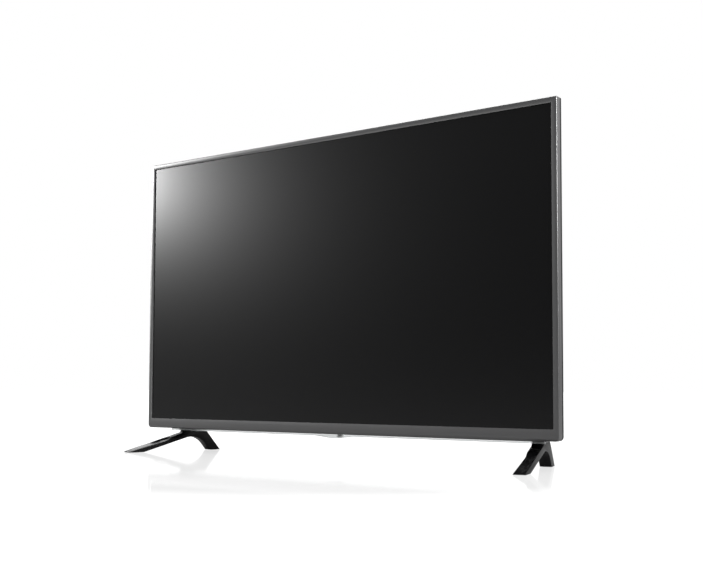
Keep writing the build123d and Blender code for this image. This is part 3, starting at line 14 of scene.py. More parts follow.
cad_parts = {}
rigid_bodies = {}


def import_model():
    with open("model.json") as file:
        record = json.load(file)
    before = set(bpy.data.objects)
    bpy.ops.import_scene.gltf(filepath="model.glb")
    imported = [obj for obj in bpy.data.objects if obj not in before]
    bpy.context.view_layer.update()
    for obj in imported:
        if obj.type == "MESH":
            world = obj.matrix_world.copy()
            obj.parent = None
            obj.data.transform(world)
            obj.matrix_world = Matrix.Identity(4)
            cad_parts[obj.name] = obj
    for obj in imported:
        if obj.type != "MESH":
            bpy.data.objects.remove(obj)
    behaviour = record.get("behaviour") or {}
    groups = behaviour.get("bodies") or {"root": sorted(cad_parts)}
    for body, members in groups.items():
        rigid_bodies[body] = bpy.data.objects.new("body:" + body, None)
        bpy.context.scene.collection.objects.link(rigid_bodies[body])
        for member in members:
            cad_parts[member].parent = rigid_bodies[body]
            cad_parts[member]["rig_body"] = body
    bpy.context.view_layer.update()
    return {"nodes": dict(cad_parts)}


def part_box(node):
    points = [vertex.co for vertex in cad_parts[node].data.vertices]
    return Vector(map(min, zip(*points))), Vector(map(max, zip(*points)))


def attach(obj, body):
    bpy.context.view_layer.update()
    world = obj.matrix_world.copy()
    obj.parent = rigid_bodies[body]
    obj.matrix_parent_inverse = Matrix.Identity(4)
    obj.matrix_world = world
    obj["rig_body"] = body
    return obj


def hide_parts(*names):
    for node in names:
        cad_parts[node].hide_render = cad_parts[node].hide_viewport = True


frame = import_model()
parts = frame["nodes"]

# %% [markdown]
# ## Millimetres and colours
# Drawings and data sheets speak in millimetres, so one constant turns them to metres.
# Colour pickers give sRGB hex values, while Blender's sockets want linear light, so one
# function turns a hex value into a linear colour.

# %% Units and colour
mm = 0.001


def linear(code, alpha=1.0):
    """An sRGB hex colour as linear red, green, blue and alpha."""
    channels = [int(code[i : i + 2], 16) / 255 for i in (1, 3, 5)]
    turned = [c / 12.92 if c <= 0.04045 else ((c + 0.055) / 1.055) ** 2.4 for c in channels]
    return (*turned, alpha)


print("mid grey in linear light:", [round(c, 3) for c in linear("#808080")[:3]])

# %% [markdown]
# ## One helper for nodes
# A material is a small tree of nodes. Adding one always takes the same three steps: make it,
# set its options, and fill or link its inputs. One function does that for every kind of node.

# %% Node helper


def add_node(tree, kind, inputs=None, **options):
    """Adds a node, sets its options, and gives each named input a value or a link."""
    node = tree.nodes.new("ShaderNode" + kind)
    for name, value in options.items():
        setattr(node, name, value)
    for name, value in (inputs or {}).items():
        if isinstance(value, bpy.types.NodeSocket):
            tree.links.new(value, node.inputs[name])
        else:
            node.inputs[name].default_value = value
    return node


def new_finish(name, **values):
    """A material with a Principled surface; returns it, its tree, its surface and a place on the part."""
    material = bpy.data.materials.new(name)
    material.use_nodes = True
    tree = material.node_tree
    surface = tree.nodes["Principled BSDF"]
    for key, value in values.items():
        surface.inputs[key.replace("_", " ")].default_value = value
    place = add_node(tree, "TexCoord").outputs["Object"]
    return material, tree, surface, place


def per_metre(size_mm):
    """A texture scale whose features are this many millimetres apart."""
    return 1000 / size_mm


print("a grain of 1 mm needs a texture scale of", per_metre(1))

# %% [markdown]
# ## Satin gunmetal frame
# The front frame is moulded ABS with a metallic-look lacquer: fine flakes in a dark grey
# film under a satin clear coat. A lamp shows in it as a soft glow that dies away along the
# frame. A noise at flake size varies the colour a little, a slower one varies the gloss of
# the film, and a fine one gives the coat its orange peel. A real clear coat has an index of
# about 1.5. Here it was raised to 1.8 until the glow matched the real frame's, because the
# flakes that add their own shine there are only a change of colour here.

# %% Frame lacquer
film_cloud_mm = 60
film_spread = 0.02
peel_mm = 0.9


def flake_lacquer(name, dark, light, flake_mm, roughness):
    """A sprayed metallic lacquer with flakes and a faint orange-peel surface."""
    material, tree, surface, place = new_finish(name, Specular_IOR_Level=1.0, Coat_Weight=1.0)
    surface.inputs["Coat Roughness"].default_value = 0.31
    surface.inputs["Coat IOR"].default_value = 1.8
    flakes = add_node(tree, "TexNoise", {"Vector": place, "Scale": per_metre(flake_mm), "Detail": 2.0})
    colour = add_node(tree, "Mix", {"Factor": flakes.outputs["Fac"]}, data_type="RGBA")
    colour.inputs[6].default_value = linear(dark)
    colour.inputs[7].default_value = linear(light)
    tree.links.new(colour.outputs[2], surface.inputs["Base Color"])
    film = add_node(tree, "TexNoise", {"Vector": place, "Scale": per_metre(film_cloud_mm), "Detail": 3.0})
    gloss = add_node(
        tree,
        "MapRange",
        {
            "Value": film.outputs["Fac"],
            "To Min": roughness - film_spread,
            "To Max": roughness + film_spread,
        },
    )
    tree.links.new(gloss.outputs["Result"], surface.inputs["Roughness"])
    peel = add_node(tree, "TexNoise", {"Vector": place, "Scale": per_metre(peel_mm), "Detail": 1.0})
    bump = add_node(tree, "Bump", {"Height": peel.outputs["Fac"], "Strength": 0.05, "Distance": 0.02 * mm})
    tree.links.new(bump.outputs["Normal"], surface.inputs["Normal"])
    return material


frame_lacquer = flake_lacquer("gunmetal_lacquer", "#2f2f30", "#39393a", 0.6, 0.35)
print("lacquer:", frame_lacquer.name)

# %% [markdown]
# ## Spark-eroded black ABS
# The back cover comes from a steel mould whose face was spark-eroded, so the plastic has a
# fine dull grain. The real grain is about 0.3 mm. It is drawn at 1.2 mm, or it would vanish
# in a picture of the whole set. A slow noise adds the faint unevenness of a large moulding.

# %% Moulded plastic helper
cloud_mm = 90
gloss_spread = 0.08
shade_spread = 0.15


def moulded_plastic(name, code, grain_mm, roughness, depth_mm):
    """A moulded plastic with an eroded grain."""
    material, tree, surface, place = new_finish(name, IOR=1.53)
    cloud = add_node(tree, "TexNoise", {"Vector": place, "Scale": per_metre(cloud_mm), "Detail": 4.0})
    shade = add_node(tree, "Mix", {"Factor": cloud.outputs["Fac"]}, data_type="RGBA")
    base = linear(code)
    shade.inputs[6].default_value = (*[c * (1 - shade_spread) for c in base[:3]], 1)
    shade.inputs[7].default_value = (*[min(c * (1 + shade_spread), 1) for c in base[:3]], 1)
    tree.links.new(shade.outputs[2], surface.inputs["Base Color"])
    grain = add_node(tree, "TexNoise", {"Vector": place, "Scale": per_metre(grain_mm), "Detail": 3.0})
    dull = add_node(
        tree,
        "MapRange",
        {
            "Value": grain.outputs["Fac"],
            "To Min": roughness - gloss_spread,
            "To Max": roughness + gloss_spread,
        },
    )
    tree.links.new(dull.outputs["Result"], surface.inputs["Roughness"])
    bump = add_node(
        tree, "Bump", {"Height": grain.outputs["Fac"], "Strength": 0.5, "Distance": depth_mm * mm}
    )
    tree.links.new(bump.outputs["Normal"], surface.inputs["Normal"])
    return material


print("moulding shades stray by", shade_spread)

# %% [markdown]
# ## The plastics of the set
# One helper serves every opaque plastic. The feet are the same ABS as the cover, moulded
# against a polished steel face, so they are nearly black and mirror the room. Their index is
# set a little under the 1.53 of ABS, until their sides were as dark as the real ones. Nylon,
# PBT, acetal, rubber and PVC differ in colour, grain and gloss. So does ferrite, which is a
# fired ceramic but has the same dull grain.

# %% Moulded plastics
cover_plastic = moulded_plastic("eroded_black_abs", "#161617", 1.2, 0.55, 0.12)
gloss_black = moulded_plastic("polished_black_abs", "#0a0a0b", 6.0, 0.16, 0.01)
gloss_black.node_tree.nodes["Principled BSDF"].inputs["IOR"].default_value = 1.4
speaker_plastic = moulded_plastic("speaker_box_abs", "#1b1b1c", 1.5, 0.5, 0.1)
white_plastic = moulded_plastic("white_nylon", "#e9e8e3", 1.5, 0.45, 0.05)
socket_plastic = moulded_plastic("socket_pbt", "#1d1d1f", 1.5, 0.4, 0.05)
acetal = moulded_plastic("black_acetal", "#26262a", 1.2, 0.32, 0.03)
rubber = moulded_plastic("black_rubber", "#1a1a1a", 1.0, 0.8, 0.1)
lead_jacket = moulded_plastic("lead_jacket_pvc", "#202022", 2.0, 0.42, 0.05)
lamp_epoxy = moulded_plastic("receiver_epoxy", "#150d10", 2.0, 0.2, 0.02)
ferrite = moulded_plastic("sintered_ferrite", "#2a2a2c", 0.8, 0.6, 0.08)
print("moulded plastics made")

# %% [markdown]
# ## Anti-glare screen
# The screen's face is a polariser film whose surface was given a microscopic haze, so that a
# lamp shows as a broad soft glow instead of a mirror image. Behind it the switched-off
# panel is almost black. The roughness sets how wide the glow is, so it was matched with care,
# and the index is the usual 1.5 of a hard-coated film.

# %% Screen film
haze_mm = 1.1


def screen_film():
    """A dark hazy film, whose roughness spreads a lamp's reflection to a soft glow."""
    material, tree, surface, place = new_finish(
        "hazed_polariser_film", IOR=1.5, Base_Color=linear("#050506"), Roughness=0.224
    )
    haze = add_node(tree, "TexNoise", {"Vector": place, "Scale": per_metre(haze_mm), "Detail": 2.0})
    bump = add_node(tree, "Bump", {"Height": haze.outputs["Fac"], "Strength": 0.03, "Distance": 0.01 * mm})
    tree.links.new(bump.outputs["Normal"], surface.inputs["Normal"])
    return material


screen_finish = screen_film()
print("screen film made")

# %% [markdown]
# ## Clear trim
# The strip under the frame is clear polycarbonate with a frosted skin: light from the white
# studio passes through it, so it looks pale grey and not black like the case above. Its index
# is set below the real 1.58, because the thin strip would otherwise bend the view up into the
# dark case. The acrylic lens caps and the panel's glass keep their real index.

# %% Clear plastics
frost_mm = 4
frost_spread = 0.3


def clear_plastic(name, tint, roughness, clearness, index):
    """A clear moulded plastic with a faint frost."""
    material, tree, surface, place = new_finish(name, IOR=index, Base_Color=linear(tint))
    surface.inputs["Transmission Weight"].default_value = clearness
    frost = add_node(tree, "TexNoise", {"Vector": place, "Scale": per_metre(frost_mm), "Detail": 3.0})
    spread = add_node(
        tree,
        "MapRange",
        {
            "Value": frost.outputs["Fac"],
            "To Min": roughness * (1 - frost_spread),
            "To Max": roughness * (1 + frost_spread),
        },
    )
    tree.links.new(spread.outputs["Result"], surface.inputs["Roughness"])
    return material


trim_plastic = clear_plastic("frosted_clear_polycarbonate", "#f4f6f6", 0.5, 0.8, 1.15)
lens_plastic = clear_plastic("clear_acrylic", "#f6f8f8", 0.08, 0.9, 1.49)
glass_finish = clear_plastic("panel_glass", "#1c211f", 0.05, 0.85, 1.52)
print("clear plastics made")

# %% [markdown]
# ## Metals
# Zinc-plated sheet steel has a cool sheen with large pale crystals called spangle. Black
# oxide screws are nearly black with a soft shine. Gold plating and nickel shells are smooth.

# %% Metals
polish_spread = 0.06
tarnish_spread = 0.08


def plated_metal(name, dark, light, patch_mm, roughness):
    """A plated metal whose colour and gloss vary in patches."""
    material, tree, surface, place = new_finish(name, Metallic=1.0)
    patches = add_node(
        tree, "TexVoronoi", {"Vector": place, "Scale": per_metre(patch_mm), "Randomness": 1.0}
    )
    grey = add_node(tree, "RGBToBW", {"Color": patches.outputs["Color"]})
    colour = add_node(tree, "Mix", {"Factor": grey.outputs["Val"]}, data_type="RGBA")
    colour.inputs[6].default_value = linear(dark)
    colour.inputs[7].default_value = linear(light)
    tree.links.new(colour.outputs[2], surface.inputs["Base Color"])
    gloss = add_node(
        tree,
        "MapRange",
        {
            "Value": grey.outputs["Val"],
            "To Min": roughness - polish_spread,
            "To Max": roughness + tarnish_spread,
        },
    )
    tree.links.new(gloss.outputs["Result"], surface.inputs["Roughness"])
    return material


zinc_steel = plated_metal("zinc_plated_steel", "#8d9094", "#b4b8bb", 6, 0.32)
black_steel = plated_metal("black_oxide_steel", "#1a1a1b", "#2b2b2d", 2, 0.4)
nickel = plated_metal("nickel_plating", "#a9a59c", "#c6c3bb", 3, 0.22)
gold = plated_metal("gold_plating", "#c79f4e", "#dcb968", 3, 0.2)
aluminium = plated_metal("extruded_aluminium", "#9ea1a4", "#b7babd", 4, 0.35)
print("metals made")

# %% [markdown]
# ## Circuit boards
# A board is glass cloth in epoxy under green solder mask. Copper tracks lie under the mask
# and show as slightly lighter, raised lines. A brick pattern, turned upright as the boards
# stand, gives long tracks at a real spacing of a millimetre and a half.

# %% Circuit boards
track_gap = 1.5 * mm
track_run = 14 * mm
track_width = 0.25 * mm


def solder_mask(name, mask, track):
    """A solder mask with raised tracks on a board that stands upright in XZ."""
    material, tree, surface, place = new_finish(name, Roughness=0.35, IOR=1.5)
    turned = add_node(tree, "Mapping", {"Vector": place, "Rotation": (radians(90), 0, 0)})
    tracks = add_node(
        tree,
        "TexBrick",
        {
            "Vector": turned.outputs["Vector"],
            "Scale": 1.0,
            "Mortar Size": track_width,
            "Brick Width": track_run,
            "Row Height": track_gap,
            "Color1": linear(mask),
            "Color2": linear(mask),
            "Mortar": linear(track),
        },
    )
    tree.links.new(tracks.outputs["Color"], surface.inputs["Base Color"])
    bump = add_node(tree, "Bump", {"Height": tracks.outputs["Fac"], "Strength": 0.4, "Distance": 0.05 * mm})
    tree.links.new(bump.outputs["Normal"], surface.inputs["Normal"])
    return material


green_board = solder_mask("green_solder_mask", "#0f4424", "#1b5c35")
white_board = solder_mask("white_solder_mask", "#d9d9d2", "#c4c4bc")
amber_film = solder_mask("polyimide_film", "#7a4a12", "#9a6420")
print("boards made")

# %% [markdown]
# ## White optical parts
# The reflector, the diffuser and the thin sheets behind the glass are filled white plastics.
# They glow softly when light passes through, so they get a little subsurface scattering.

# %% Optical whites
mottle_mm = 5
mottle_share = 0.94


def optical_white(name, code, roughness):
    """A filled white plastic with a very fine mottle."""
    material, tree, surface, place = new_finish(name, Roughness=roughness, IOR=1.49)
    surface.inputs["Subsurface Weight"].default_value = 0.2
    surface.inputs["Subsurface Scale"].default_value = 2 * mm
    mottle = add_node(tree, "TexNoise", {"Vector": place, "Scale": per_metre(mottle_mm), "Detail": 5.0})
    tone = add_node(tree, "Mix", {"Factor": mottle.outputs["Fac"]}, data_type="RGBA")
    base = linear(code)
    tone.inputs[6].default_value = (*[c * mottle_share for c in base[:3]], 1)
    tone.inputs[7].default_value = base
    tree.links.new(tone.outputs[2], surface.inputs["Base Color"])
    return material


reflector_white = optical_white("foamed_white_pet", "#f2f2ee", 0.6)
diffuser_white = optical_white("opal_polystyrene", "#eceeee", 0.35)
print("optical whites made")

# %% [markdown]
# ## Give the parts their finishes
# Every part gets a finish here. Most have the right shape already and need nothing more. The
# few that are copied or replaced further on hand their finish to the new piece.

# %% Finish table
finishes = {
    frame_lacquer: ["front_bezel"],
    cover_plastic: ["back_cover", "cable_holder"],
    rubber: ["foot_pads", "speaker_bushes", "screen_gasket"],
    screen_finish: ["polarisers"],
    glass_finish: ["lcd_glass"],
    trim_plastic: ["clear_trim"],
    lens_plastic: ["lens_caps"],
    speaker_plastic: ["left_speaker_box", "right_speaker_box", "middle_frame", "joystick_housing"],
    gloss_black: ["joystick_cap", "left_foot", "right_foot"],
    acetal: ["joystick_gimbal", "joystick_stem"],
    socket_plastic: ["audio_sockets", "mains_inlet", "main_chips", "mains_filter", "power_capacitors"],
    black_steel: ["cover_screws", "foot_screws", "jack_plates"],
    zinc_steel: ["rear_chassis", "foot_brackets", "board_screws", "timing_shield", "wall_mount_inserts"],
    nickel: ["hdmi_sockets", "usb_socket", "network_socket", "tuner"],
    gold: ["av_sockets"],
    aluminium: ["power_heatsinks", "processor_heatsink", "speaker_drivers"],
    ferrite: ["power_transformers"],
    green_board: ["main_board", "power_board", "timing_board", "source_boards", "sensor_board"],
    white_board: ["light_bars"],
    amber_film: ["driver_films", "ribbons"],
    lead_jacket: ["power_leads", "signal_leads"],
    lamp_epoxy: ["remote_receiver", "power_light"],
    white_plastic: ["wire_plugs", "light_chips", "diffuser_supports"],
    reflector_white: ["reflector_sheet"],
    diffuser_white: ["diffuser_plate", "optical_sheets"],
}


def set_finish(piece, material):
    """Puts one material on the whole piece."""
    piece.data.materials.clear()
    piece.data.materials.append(material)


for material, names in finishes.items():
    for name in names:
        set_finish(parts[name], material)
bare = sorted(set(parts) - {n for names in finishes.values() for n in names})
print("parts without a finish:", bare)

# %% [markdown]
# ## Softened edges
# A moulded edge is never knife-sharp: it has a radius of a few tenths of a millimetre that
# catches a thin line of light. Each visible moulding is copied, its loose triangles are
# merged back into faces, and its edges get a narrow bevel.

# %% Edge softening


def select_only(piece):
    """Makes one piece the only selected and active one."""
    bpy.ops.object.select_all(action="DESELECT")
    piece.select_set(True)
    bpy.context.view_layer.objects.active = piece


def soften(node, radius_mm, segments=2):
    """Replaces a CAD part by a copy with merged faces and a narrow bevel on its edges."""
    source = parts[node]
    piece = bpy.data.objects.new(node + "_moulding", source.data.copy())
    bpy.context.scene.collection.objects.link(piece)
    select_only(piece)
    bpy.ops.object.mode_set(mode="EDIT")
    bpy.ops.mesh.select_all(action="SELECT")
    bpy.ops.mesh.remove_doubles(threshold=0.002 * mm)
    bpy.ops.mesh.dissolve_limited(angle_limit=radians(0.5))
    bpy.ops.object.mode_set(mode="OBJECT")
    bevel = piece.modifiers.new("edge", "BEVEL")
    bevel.width = radius_mm * mm
    bevel.segments = segments
    bevel.limit_method = "ANGLE"
    bevel.angle_limit = radians(32)
    bevel.use_clamp_overlap = True
    bpy.ops.object.modifier_apply(modifier=bevel.name)
    bpy.ops.object.shade_smooth_by_angle(angle=radians(40))
    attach(piece, source["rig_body"])
    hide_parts(node)
    print(piece.name, "has", len(piece.data.polygons), "faces")


soften("front_bezel", 0.5)
soften("left_foot", 0.8, 3)
soften("right_foot", 0.8, 3)
soften("clear_trim", 0.4)
soften("cable_holder", 0.5)
soften("joystick_cap", 0.3)

# %% [markdown]
# ## Small shapes from cylinders
# Screws and pins are turned parts, so each starts as a cylinder that lies along Y. Faces are
# then picked by their normal, as a hand would click them, and bevelled. The set's own depths
# are measured from the frame's face, so one function turns such a place to metres.

# %% Turned blanks
front_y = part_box("front_bezel")[0][1]


def at_depth(x, depth, z):
    """A place in metres from millimetres across, behind the frame's face, and up."""
    return Vector((x * mm, front_y + depth * mm, z * mm))


def turned_blank(name, radius, length, middle=(0, 0, 0), sides=32):
    """A cylinder along Y with its place in its mesh."""
    bpy.ops.object.select_all(action="DESELECT")
    bpy.ops.mesh.primitive_cylinder_add(
        vertices=sides, radius=radius * mm, depth=length * mm, rotation=(radians(90), 0, 0), location=middle
    )
    blank = bpy.context.active_object
    blank.name = name
    bpy.ops.object.transform_apply(location=True, rotation=True, scale=True)
    return blank


def pick_faces(piece, test):
    """Goes to edit mode with only those faces selected whose normal passes a test."""
    select_only(piece)
    bpy.ops.object.mode_set(mode="EDIT")
    bpy.ops.mesh.select_mode(type="FACE")
    bpy.ops.mesh.select_all(action="DESELECT")
    bpy.ops.object.mode_set(mode="OBJECT")
    for face in piece.data.polygons:
        face.select = test(face.normal)
    bpy.ops.object.mode_set(mode="EDIT")


print("the frame's face lies at y =", round(front_y, 5))

# %% [markdown]
# ## Cross-recess screws
# The case and the feet are held by black pan-head screws, whose cross recess was punched in
# cold. A recess could be inset and pushed in, but its four arms are quicker and cleaner as a
# cross of two bars that a Boolean cuts out of the head.

# %% Cross recess
recess_depth_share = 0.55
recess_reach_share = 1.1
recess_width_share = 0.24


def recess_bar(reach, breadth, deep, turn):
    """One bar of the cross that is cut out of a screw's head."""
    bpy.ops.object.select_all(action="DESELECT")
    bpy.ops.mesh.primitive_cube_add(size=1)
    bar = bpy.context.active_object
    bar.scale = (reach * mm, 2 * deep * mm, breadth * mm)
    bar.rotation_euler = (0, turn, 0)
    bpy.ops.object.transform_apply(location=True, rotation=True, scale=True)
    return bar


def cut_out(piece, cutter):
    """Subtracts one closed mesh from another, and removes the cutter."""
    select_only(piece)
    cut = piece.modifiers.new("cut", "BOOLEAN")
    cut.operation = "DIFFERENCE"
    cut.object = cutter
    bpy.ops.object.modifier_apply(modifier=cut.name)
    bpy.data.objects.remove(cutter)


print("a recess is", recess_depth_share, "of its head deep")

# %% [markdown]
# ## One screw
# A short blank is the head: its rear rim is rounded by a bevel of four steps, and the cross is
# cut out of it. A longer and thinner blank is the shank, with a small chamfer at its tip.

# %% Screw
rim_share = 0.55
tip_share = 0.4


def screw_model(head_radius, head_height, shank_radius, shank_length):
    """A screw whose head sits on the origin and whose shank points to the front."""
    head = turned_blank("screw", head_radius, head_height, (0, head_height * mm / 2, 0))
    pick_faces(head, lambda normal: normal.y > 0.9)
    bpy.ops.mesh.bevel(offset=head_height * mm * rim_share, segments=4)
    bpy.ops.object.mode_set(mode="OBJECT")
    reach, breadth = head_radius * recess_reach_share, head_radius * recess_width_share
    for turn in (radians(45), radians(135)):
        bar = recess_bar(reach, breadth, head_height * recess_depth_share, turn)
        bar.data.transform(Matrix.Translation((0, head_height * mm, 0)))
        cut_out(head, bar)
    shank = turned_blank("shank", shank_radius, shank_length, (0, -shank_length * mm / 2, 0), 16)
    pick_faces(shank, lambda normal: normal.y < -0.9)
    bpy.ops.mesh.bevel(offset=shank_radius * mm * tip_share, segments=1)
    bpy.ops.object.mode_set(mode="OBJECT")
    select_only(head)
    shank.select_set(True)
    bpy.ops.object.join()
    bpy.ops.object.shade_smooth_by_angle(angle=radians(30))
    return head


print("a screw's rim is rounded by", rim_share, "of its head")

# %% [markdown]
# ## A set of screws
# One screw of each size is modelled and copied to its holes, each copy with its own mesh. The
# copies are joined to one piece, which stands for the CAD part that holds that set.

# %% Screw set


def screw_set(name, node, model, places):
    """Copies a screw to its places and joins the copies to one piece for a CAD node."""
    copies = []
    for place in places:
        copy = bpy.data.objects.new(name, model.data.copy())
        copy.data.transform(Matrix.Translation(place))
        bpy.context.scene.collection.objects.link(copy)
        copies.append(copy)
    bpy.data.objects.remove(model)
    select_only(copies[0])
    for copy in copies[1:]:
        copy.select_set(True)
    bpy.ops.object.join()
    piece = bpy.context.active_object
    set_finish(piece, black_steel)
    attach(piece, "tv")
    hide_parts(node)
    print(piece.name, "holds", len(places), "screws,", len(piece.data.polygons), "faces")


print("screws are finished in", black_steel.name)

# %% [markdown]
# ## Where the screws go
# Eleven small screws hold the case: a row along the top of the slim rim, and two rows in wells
# round the deep middle. Each foot hangs on two larger screws, driven in from the back.

# %% Screws in their holes
well_seat = 33.3
rim_height = 629.4
rim_places = (-481, -240.5, 0, 240.5, 481)
well_heights = (448.7, 179.7)
well_places = (-465, 0, 465)
case_holes = [(x, rim_height) for x in rim_places]
case_holes += [(x, z) for z in well_heights for x in well_places]
case_reach = (front_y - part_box("cover_screws")[0][1]) / mm + well_seat
case_screw = screw_model(head_radius=2.8, head_height=1.8, shank_radius=1.25, shank_length=case_reach)
case_seats = [at_depth(x, well_seat, z) for x, z in case_holes]
screw_set("case_screws", "cover_screws", case_screw, case_seats)

back_face = 84.0
foot_places = (-479.2, 479.2)
foot_heights = (70.7, 85.7)
foot_screw = screw_model(head_radius=3.6, head_height=2.4, shank_radius=2.0, shank_length=22.0)
foot_seats = [at_depth(x, back_face, z) for x in foot_places for z in foot_heights]
screw_set("stand_screws", "foot_screws", foot_screw, foot_seats)

# %% [markdown]
# ## Pins and jack rings
# The mains inlet has two nickel pins with rounded tips. Each audio and video jack shows a
# ring of coloured insulator round its bore: yellow for video, white and red for sound.

# %% Inlet pins
pin_places = {"left": 384.7, "right": 393.3}
pin_depth = 47.5
pin_height = 196.85
pin_radius = 1.24
pin_length = 9.4
tip_radius = 0.7
for side, across in pin_places.items():
    middle = at_depth(across, pin_depth, pin_height)
    pin = turned_blank(side + "_inlet_pin", pin_radius, pin_length, middle, 24)
    pick_faces(pin, lambda normal: normal.y > 0.9)
    bpy.ops.mesh.bevel(offset=tip_radius * mm, segments=4)
    bpy.ops.object.mode_set(mode="OBJECT")
    bpy.ops.object.shade_smooth_by_angle(angle=radians(30))
    set_finish(pin, nickel)
    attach(pin, "tv")
    print(pin.name, "at", across, "mm")

# %% Jack rings
jack_rings = {"yellow": ("#d9b61c", 314.5), "white": ("#e4e3dd", 294.6), "red": ("#a3191b", 274.7)}
jack_across = -287.86
jack_depth = 61.05
ring_radius = 2.7
ring_thickness = 0.8
flattened = 0.4
for word, (code, height) in jack_rings.items():
    bpy.ops.object.select_all(action="DESELECT")
    bpy.ops.mesh.primitive_torus_add(
        major_radius=ring_radius * mm,
        minor_radius=ring_thickness * mm,
        major_segments=40,
        minor_segments=12,
        rotation=(radians(90), 0, 0),
    )
    ring = bpy.context.active_object
    ring.name = word + "_jack_ring"
    bpy.ops.object.transform_apply(location=True, rotation=True, scale=True)
    bpy.ops.object.mode_set(mode="EDIT")
    bpy.ops.mesh.select_all(action="SELECT")
    bpy.ops.transform.resize(value=(1, flattened, 1), center_override=(0, 0, 0))
    bpy.ops.object.mode_set(mode="OBJECT")
    ring.data.transform(Matrix.Translation(at_depth(jack_across, jack_depth, height)))
    bpy.ops.object.shade_smooth()
    set_finish(ring, moulded_plastic(word + "_jack_insulator", code, 1.5, 0.35, 0.02))
    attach(ring, "tv")
    print(ring.name, "at", height, "mm")

# %% [markdown]
# ## Studio floor
# The set stands on a wide sheet of smooth board. Its own colour is grey, and a light that
# only the camera sees lifts it to white, so the feet still leave a faint mirror image on it
# while the board throws little light back at the set. Away from the set the lift grows to
# pure white, which lets the mirror image fade out. All other rays meet a dull board, so that
# it puts no sharp glare on the feet and the frame's lower bar.

# %% Floor
smudge_mm = 400
polished, rubbed = 0.05, 0.08
hidden_roughness = 0.84
near_lift = 0.69
fade_start, fade_end = 0.7, 0.9
floor_side = 60
floor_material, tree, surface, place = new_finish("white_board", Base_Color=linear("#7d7d7d"), IOR=1.45)
smudge = add_node(tree, "TexNoise", {"Vector": place, "Scale": per_metre(smudge_mm), "Detail": 2.0})
wear = add_node(tree, "MapRange", {"Value": smudge.outputs["Fac"], "To Min": polished, "To Max": rubbed})
rays = add_node(tree, "LightPath").outputs
unseen = add_node(tree, "Math", {0: 1.0, 1: rays["Is Camera Ray"]}, operation="SUBTRACT")
dull = add_node(
    tree,
    "Math",
    {0: unseen.outputs[0], 1: hidden_roughness, 2: wear.outputs["Result"]},
    operation="MULTIPLY_ADD",
)
tree.links.new(dull.outputs[0], surface.inputs["Roughness"])
seen = add_node(tree, "Math", {0: rays["Is Camera Ray"], 1: rays["Is Transmission Ray"]}, operation="MAXIMUM")
surface.inputs["Emission Color"].default_value = (1, 1, 1, 1)
reach = add_node(tree, "VectorMath", {0: place}, operation="LENGTH").outputs["Value"]
paper = add_node(
    tree,
    "MapRange",
    {"Value": reach, "From Min": fade_start, "From Max": fade_end, "To Min": near_lift},
)
paper.interpolation_type = "SMOOTHSTEP"
lift = add_node(tree, "Math", {0: seen.outputs[0], 1: paper.outputs["Result"]}, operation="MULTIPLY")
tree.links.new(lift.outputs[0], surface.inputs["Emission Strength"])

bpy.ops.object.select_all(action="DESELECT")
bpy.ops.mesh.primitive_plane_add(size=floor_side, location=(0, 0, 0))
floor = bpy.context.active_object
floor.name = "studio_floor"
set_finish(floor, floor_material)
print("floor", tuple(round(v, 2) for v in floor.dimensions))

# %% [markdown]
# ## World light
# The studio is bright behind the set and dim towards the left of the camera, the side that
# the screen mirrors. A gradient along a level axis between those two sides gives glossy
# surfaces both: bright edges and a dark screen. A second gradient makes the walls dimmer than
# the ceiling, so that upright faces stay darker than the edges on top. The camera itself, and
# what it sees through clear parts, gets plain white.

# %% World
bright_way = (0.5, 0.866, 0)
dim_end, bright_end = -0.65, 0.3
dim_share = 0.24
wall_top, ceiling_start = 0.1, 0.6
wall_share = 0.44
world = bpy.data.worlds.new("studio")
bpy.context.scene.world = world
world.use_nodes = True
sky = world.node_tree
background = sky.nodes["Background"]
direction = add_node(sky, "TexCoord").outputs["Generated"]
behind = add_node(sky, "VectorMath", {0: direction, 1: bright_way}, operation="DOT_PRODUCT").outputs["Value"]
ramp = add_node(
    sky,
    "MapRange",
    {"Value": behind, "From Min": dim_end, "From Max": bright_end, "To Min": dim_share},
)
ramp.interpolation_type = "SMOOTHSTEP"
upwards = add_node(sky, "SeparateXYZ", {"Vector": direction}).outputs["Z"]
rise = add_node(
    sky,
    "MapRange",
    {"Value": upwards, "From Min": wall_top, "From Max": ceiling_start, "To Min": wall_share},
)
rise.interpolation_type = "SMOOTHSTEP"
room = add_node(sky, "Math", {0: ramp.outputs["Result"], 1: rise.outputs["Result"]}, operation="MULTIPLY")
rays = add_node(sky, "LightPath").outputs
seen = add_node(sky, "Math", {0: rays["Is Camera Ray"], 1: rays["Is Transmission Ray"]}, operation="MAXIMUM")
glow = add_node(sky, "Math", {0: room.outputs[0], 1: seen.outputs[0]}, operation="MAXIMUM")
sky.links.new(glow.outputs[0], background.inputs["Strength"])
background.inputs["Color"].default_value = (1, 1, 1, 1)
print("world made")

# %% [markdown]
# ## Lamps
# Four soft boxes. A small far one on the left glows in the screen's upper left corner, and
# one on the right lights the case's side. A wide one overhead lights the top edge and the
# floor, and a weak one behind on the left draws the highlight in the left foot's hollow.

# %% Soft boxes


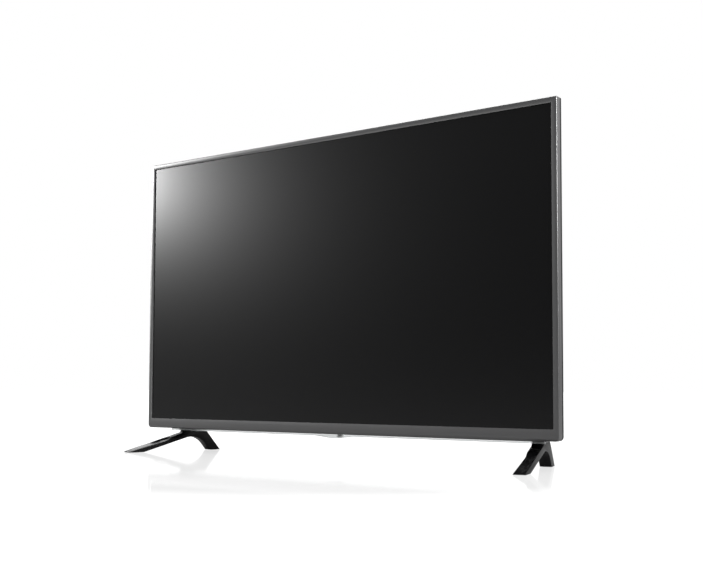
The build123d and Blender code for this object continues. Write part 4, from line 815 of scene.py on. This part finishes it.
def soft_box(name, place, target, width, height, watts):
    """An area lamp that points at a target."""
    light = bpy.data.lights.new(name, "AREA")
    light.shape = "RECTANGLE"
    light.size = width
    light.size_y = height
    light.energy = watts
    lamp = bpy.data.objects.new(name, light)
    bpy.context.scene.collection.objects.link(lamp)
    aim = Vector(target) - Vector(place)
    lamp.matrix_world = Matrix.Translation(place) @ aim.to_track_quat("-Z", "Y").to_matrix().to_4x4()
    print(name, watts, "W")


soft_box("left_soft_box", (-6.82, -4.6, 2.23), (-0.5, 0, 0.65), 0.4, 0.4, 224)
soft_box("right_soft_box", (3.4, -0.8, 1.6), (0, 0, 0.35), 1.0, 1.0, 130)
soft_box("top_soft_box", (-0.3, -0.15, 2.0), (-0.3, -0.15, 0), 2.0, 0.8, 40)
soft_box("rear_soft_box", (-2.2, 1.25, 2.0), (-0.5, 0, 0), 0.9, 1.4, 8)

# %% [markdown]
# ## Camera
# The photograph was taken low and from the right. The camera's place, turn and lens were
# solved from the corners of the frame and the screen. The solved optical centre is not the
# middle of the picture, so a small shift moves it there.

# %% Camera
eye = Vector((1.4672, -1.84495, 0.1565))
yaw, pitch, roll = radians(-37.03), radians(3.35), radians(0.165)
picture_width, picture_height = 703, 569
focal_px = 1087.69
centre_px = (359.7, 323.1)
sensor_mm = 36
forward = Vector((sin(yaw) * cos(pitch), cos(yaw) * cos(pitch), sin(pitch)))
level_right = Vector((cos(yaw), -sin(yaw), 0))
level_up = level_right.cross(forward)
right = level_right * cos(roll) + level_up * sin(roll)
up = level_up * cos(roll) - level_right * sin(roll)
camera = bpy.data.objects.new("camera", bpy.data.cameras.new("camera"))
bpy.context.scene.collection.objects.link(camera)
turn = Matrix((right, up, -forward)).transposed().to_4x4()
camera.matrix_world = Matrix.Translation(eye) @ turn
camera.data.sensor_fit = "HORIZONTAL"
camera.data.sensor_width = sensor_mm
camera.data.lens = focal_px * sensor_mm / picture_width
camera.data.shift_x = (picture_width / 2 - centre_px[0]) / picture_width
camera.data.shift_y = (centre_px[1] - picture_height / 2) / picture_width
camera.data.clip_end = 200
bpy.context.scene.camera = camera
bpy.context.scene.view_settings.view_transform = "Standard"
print("lens", round(camera.data.lens, 2), "mm")
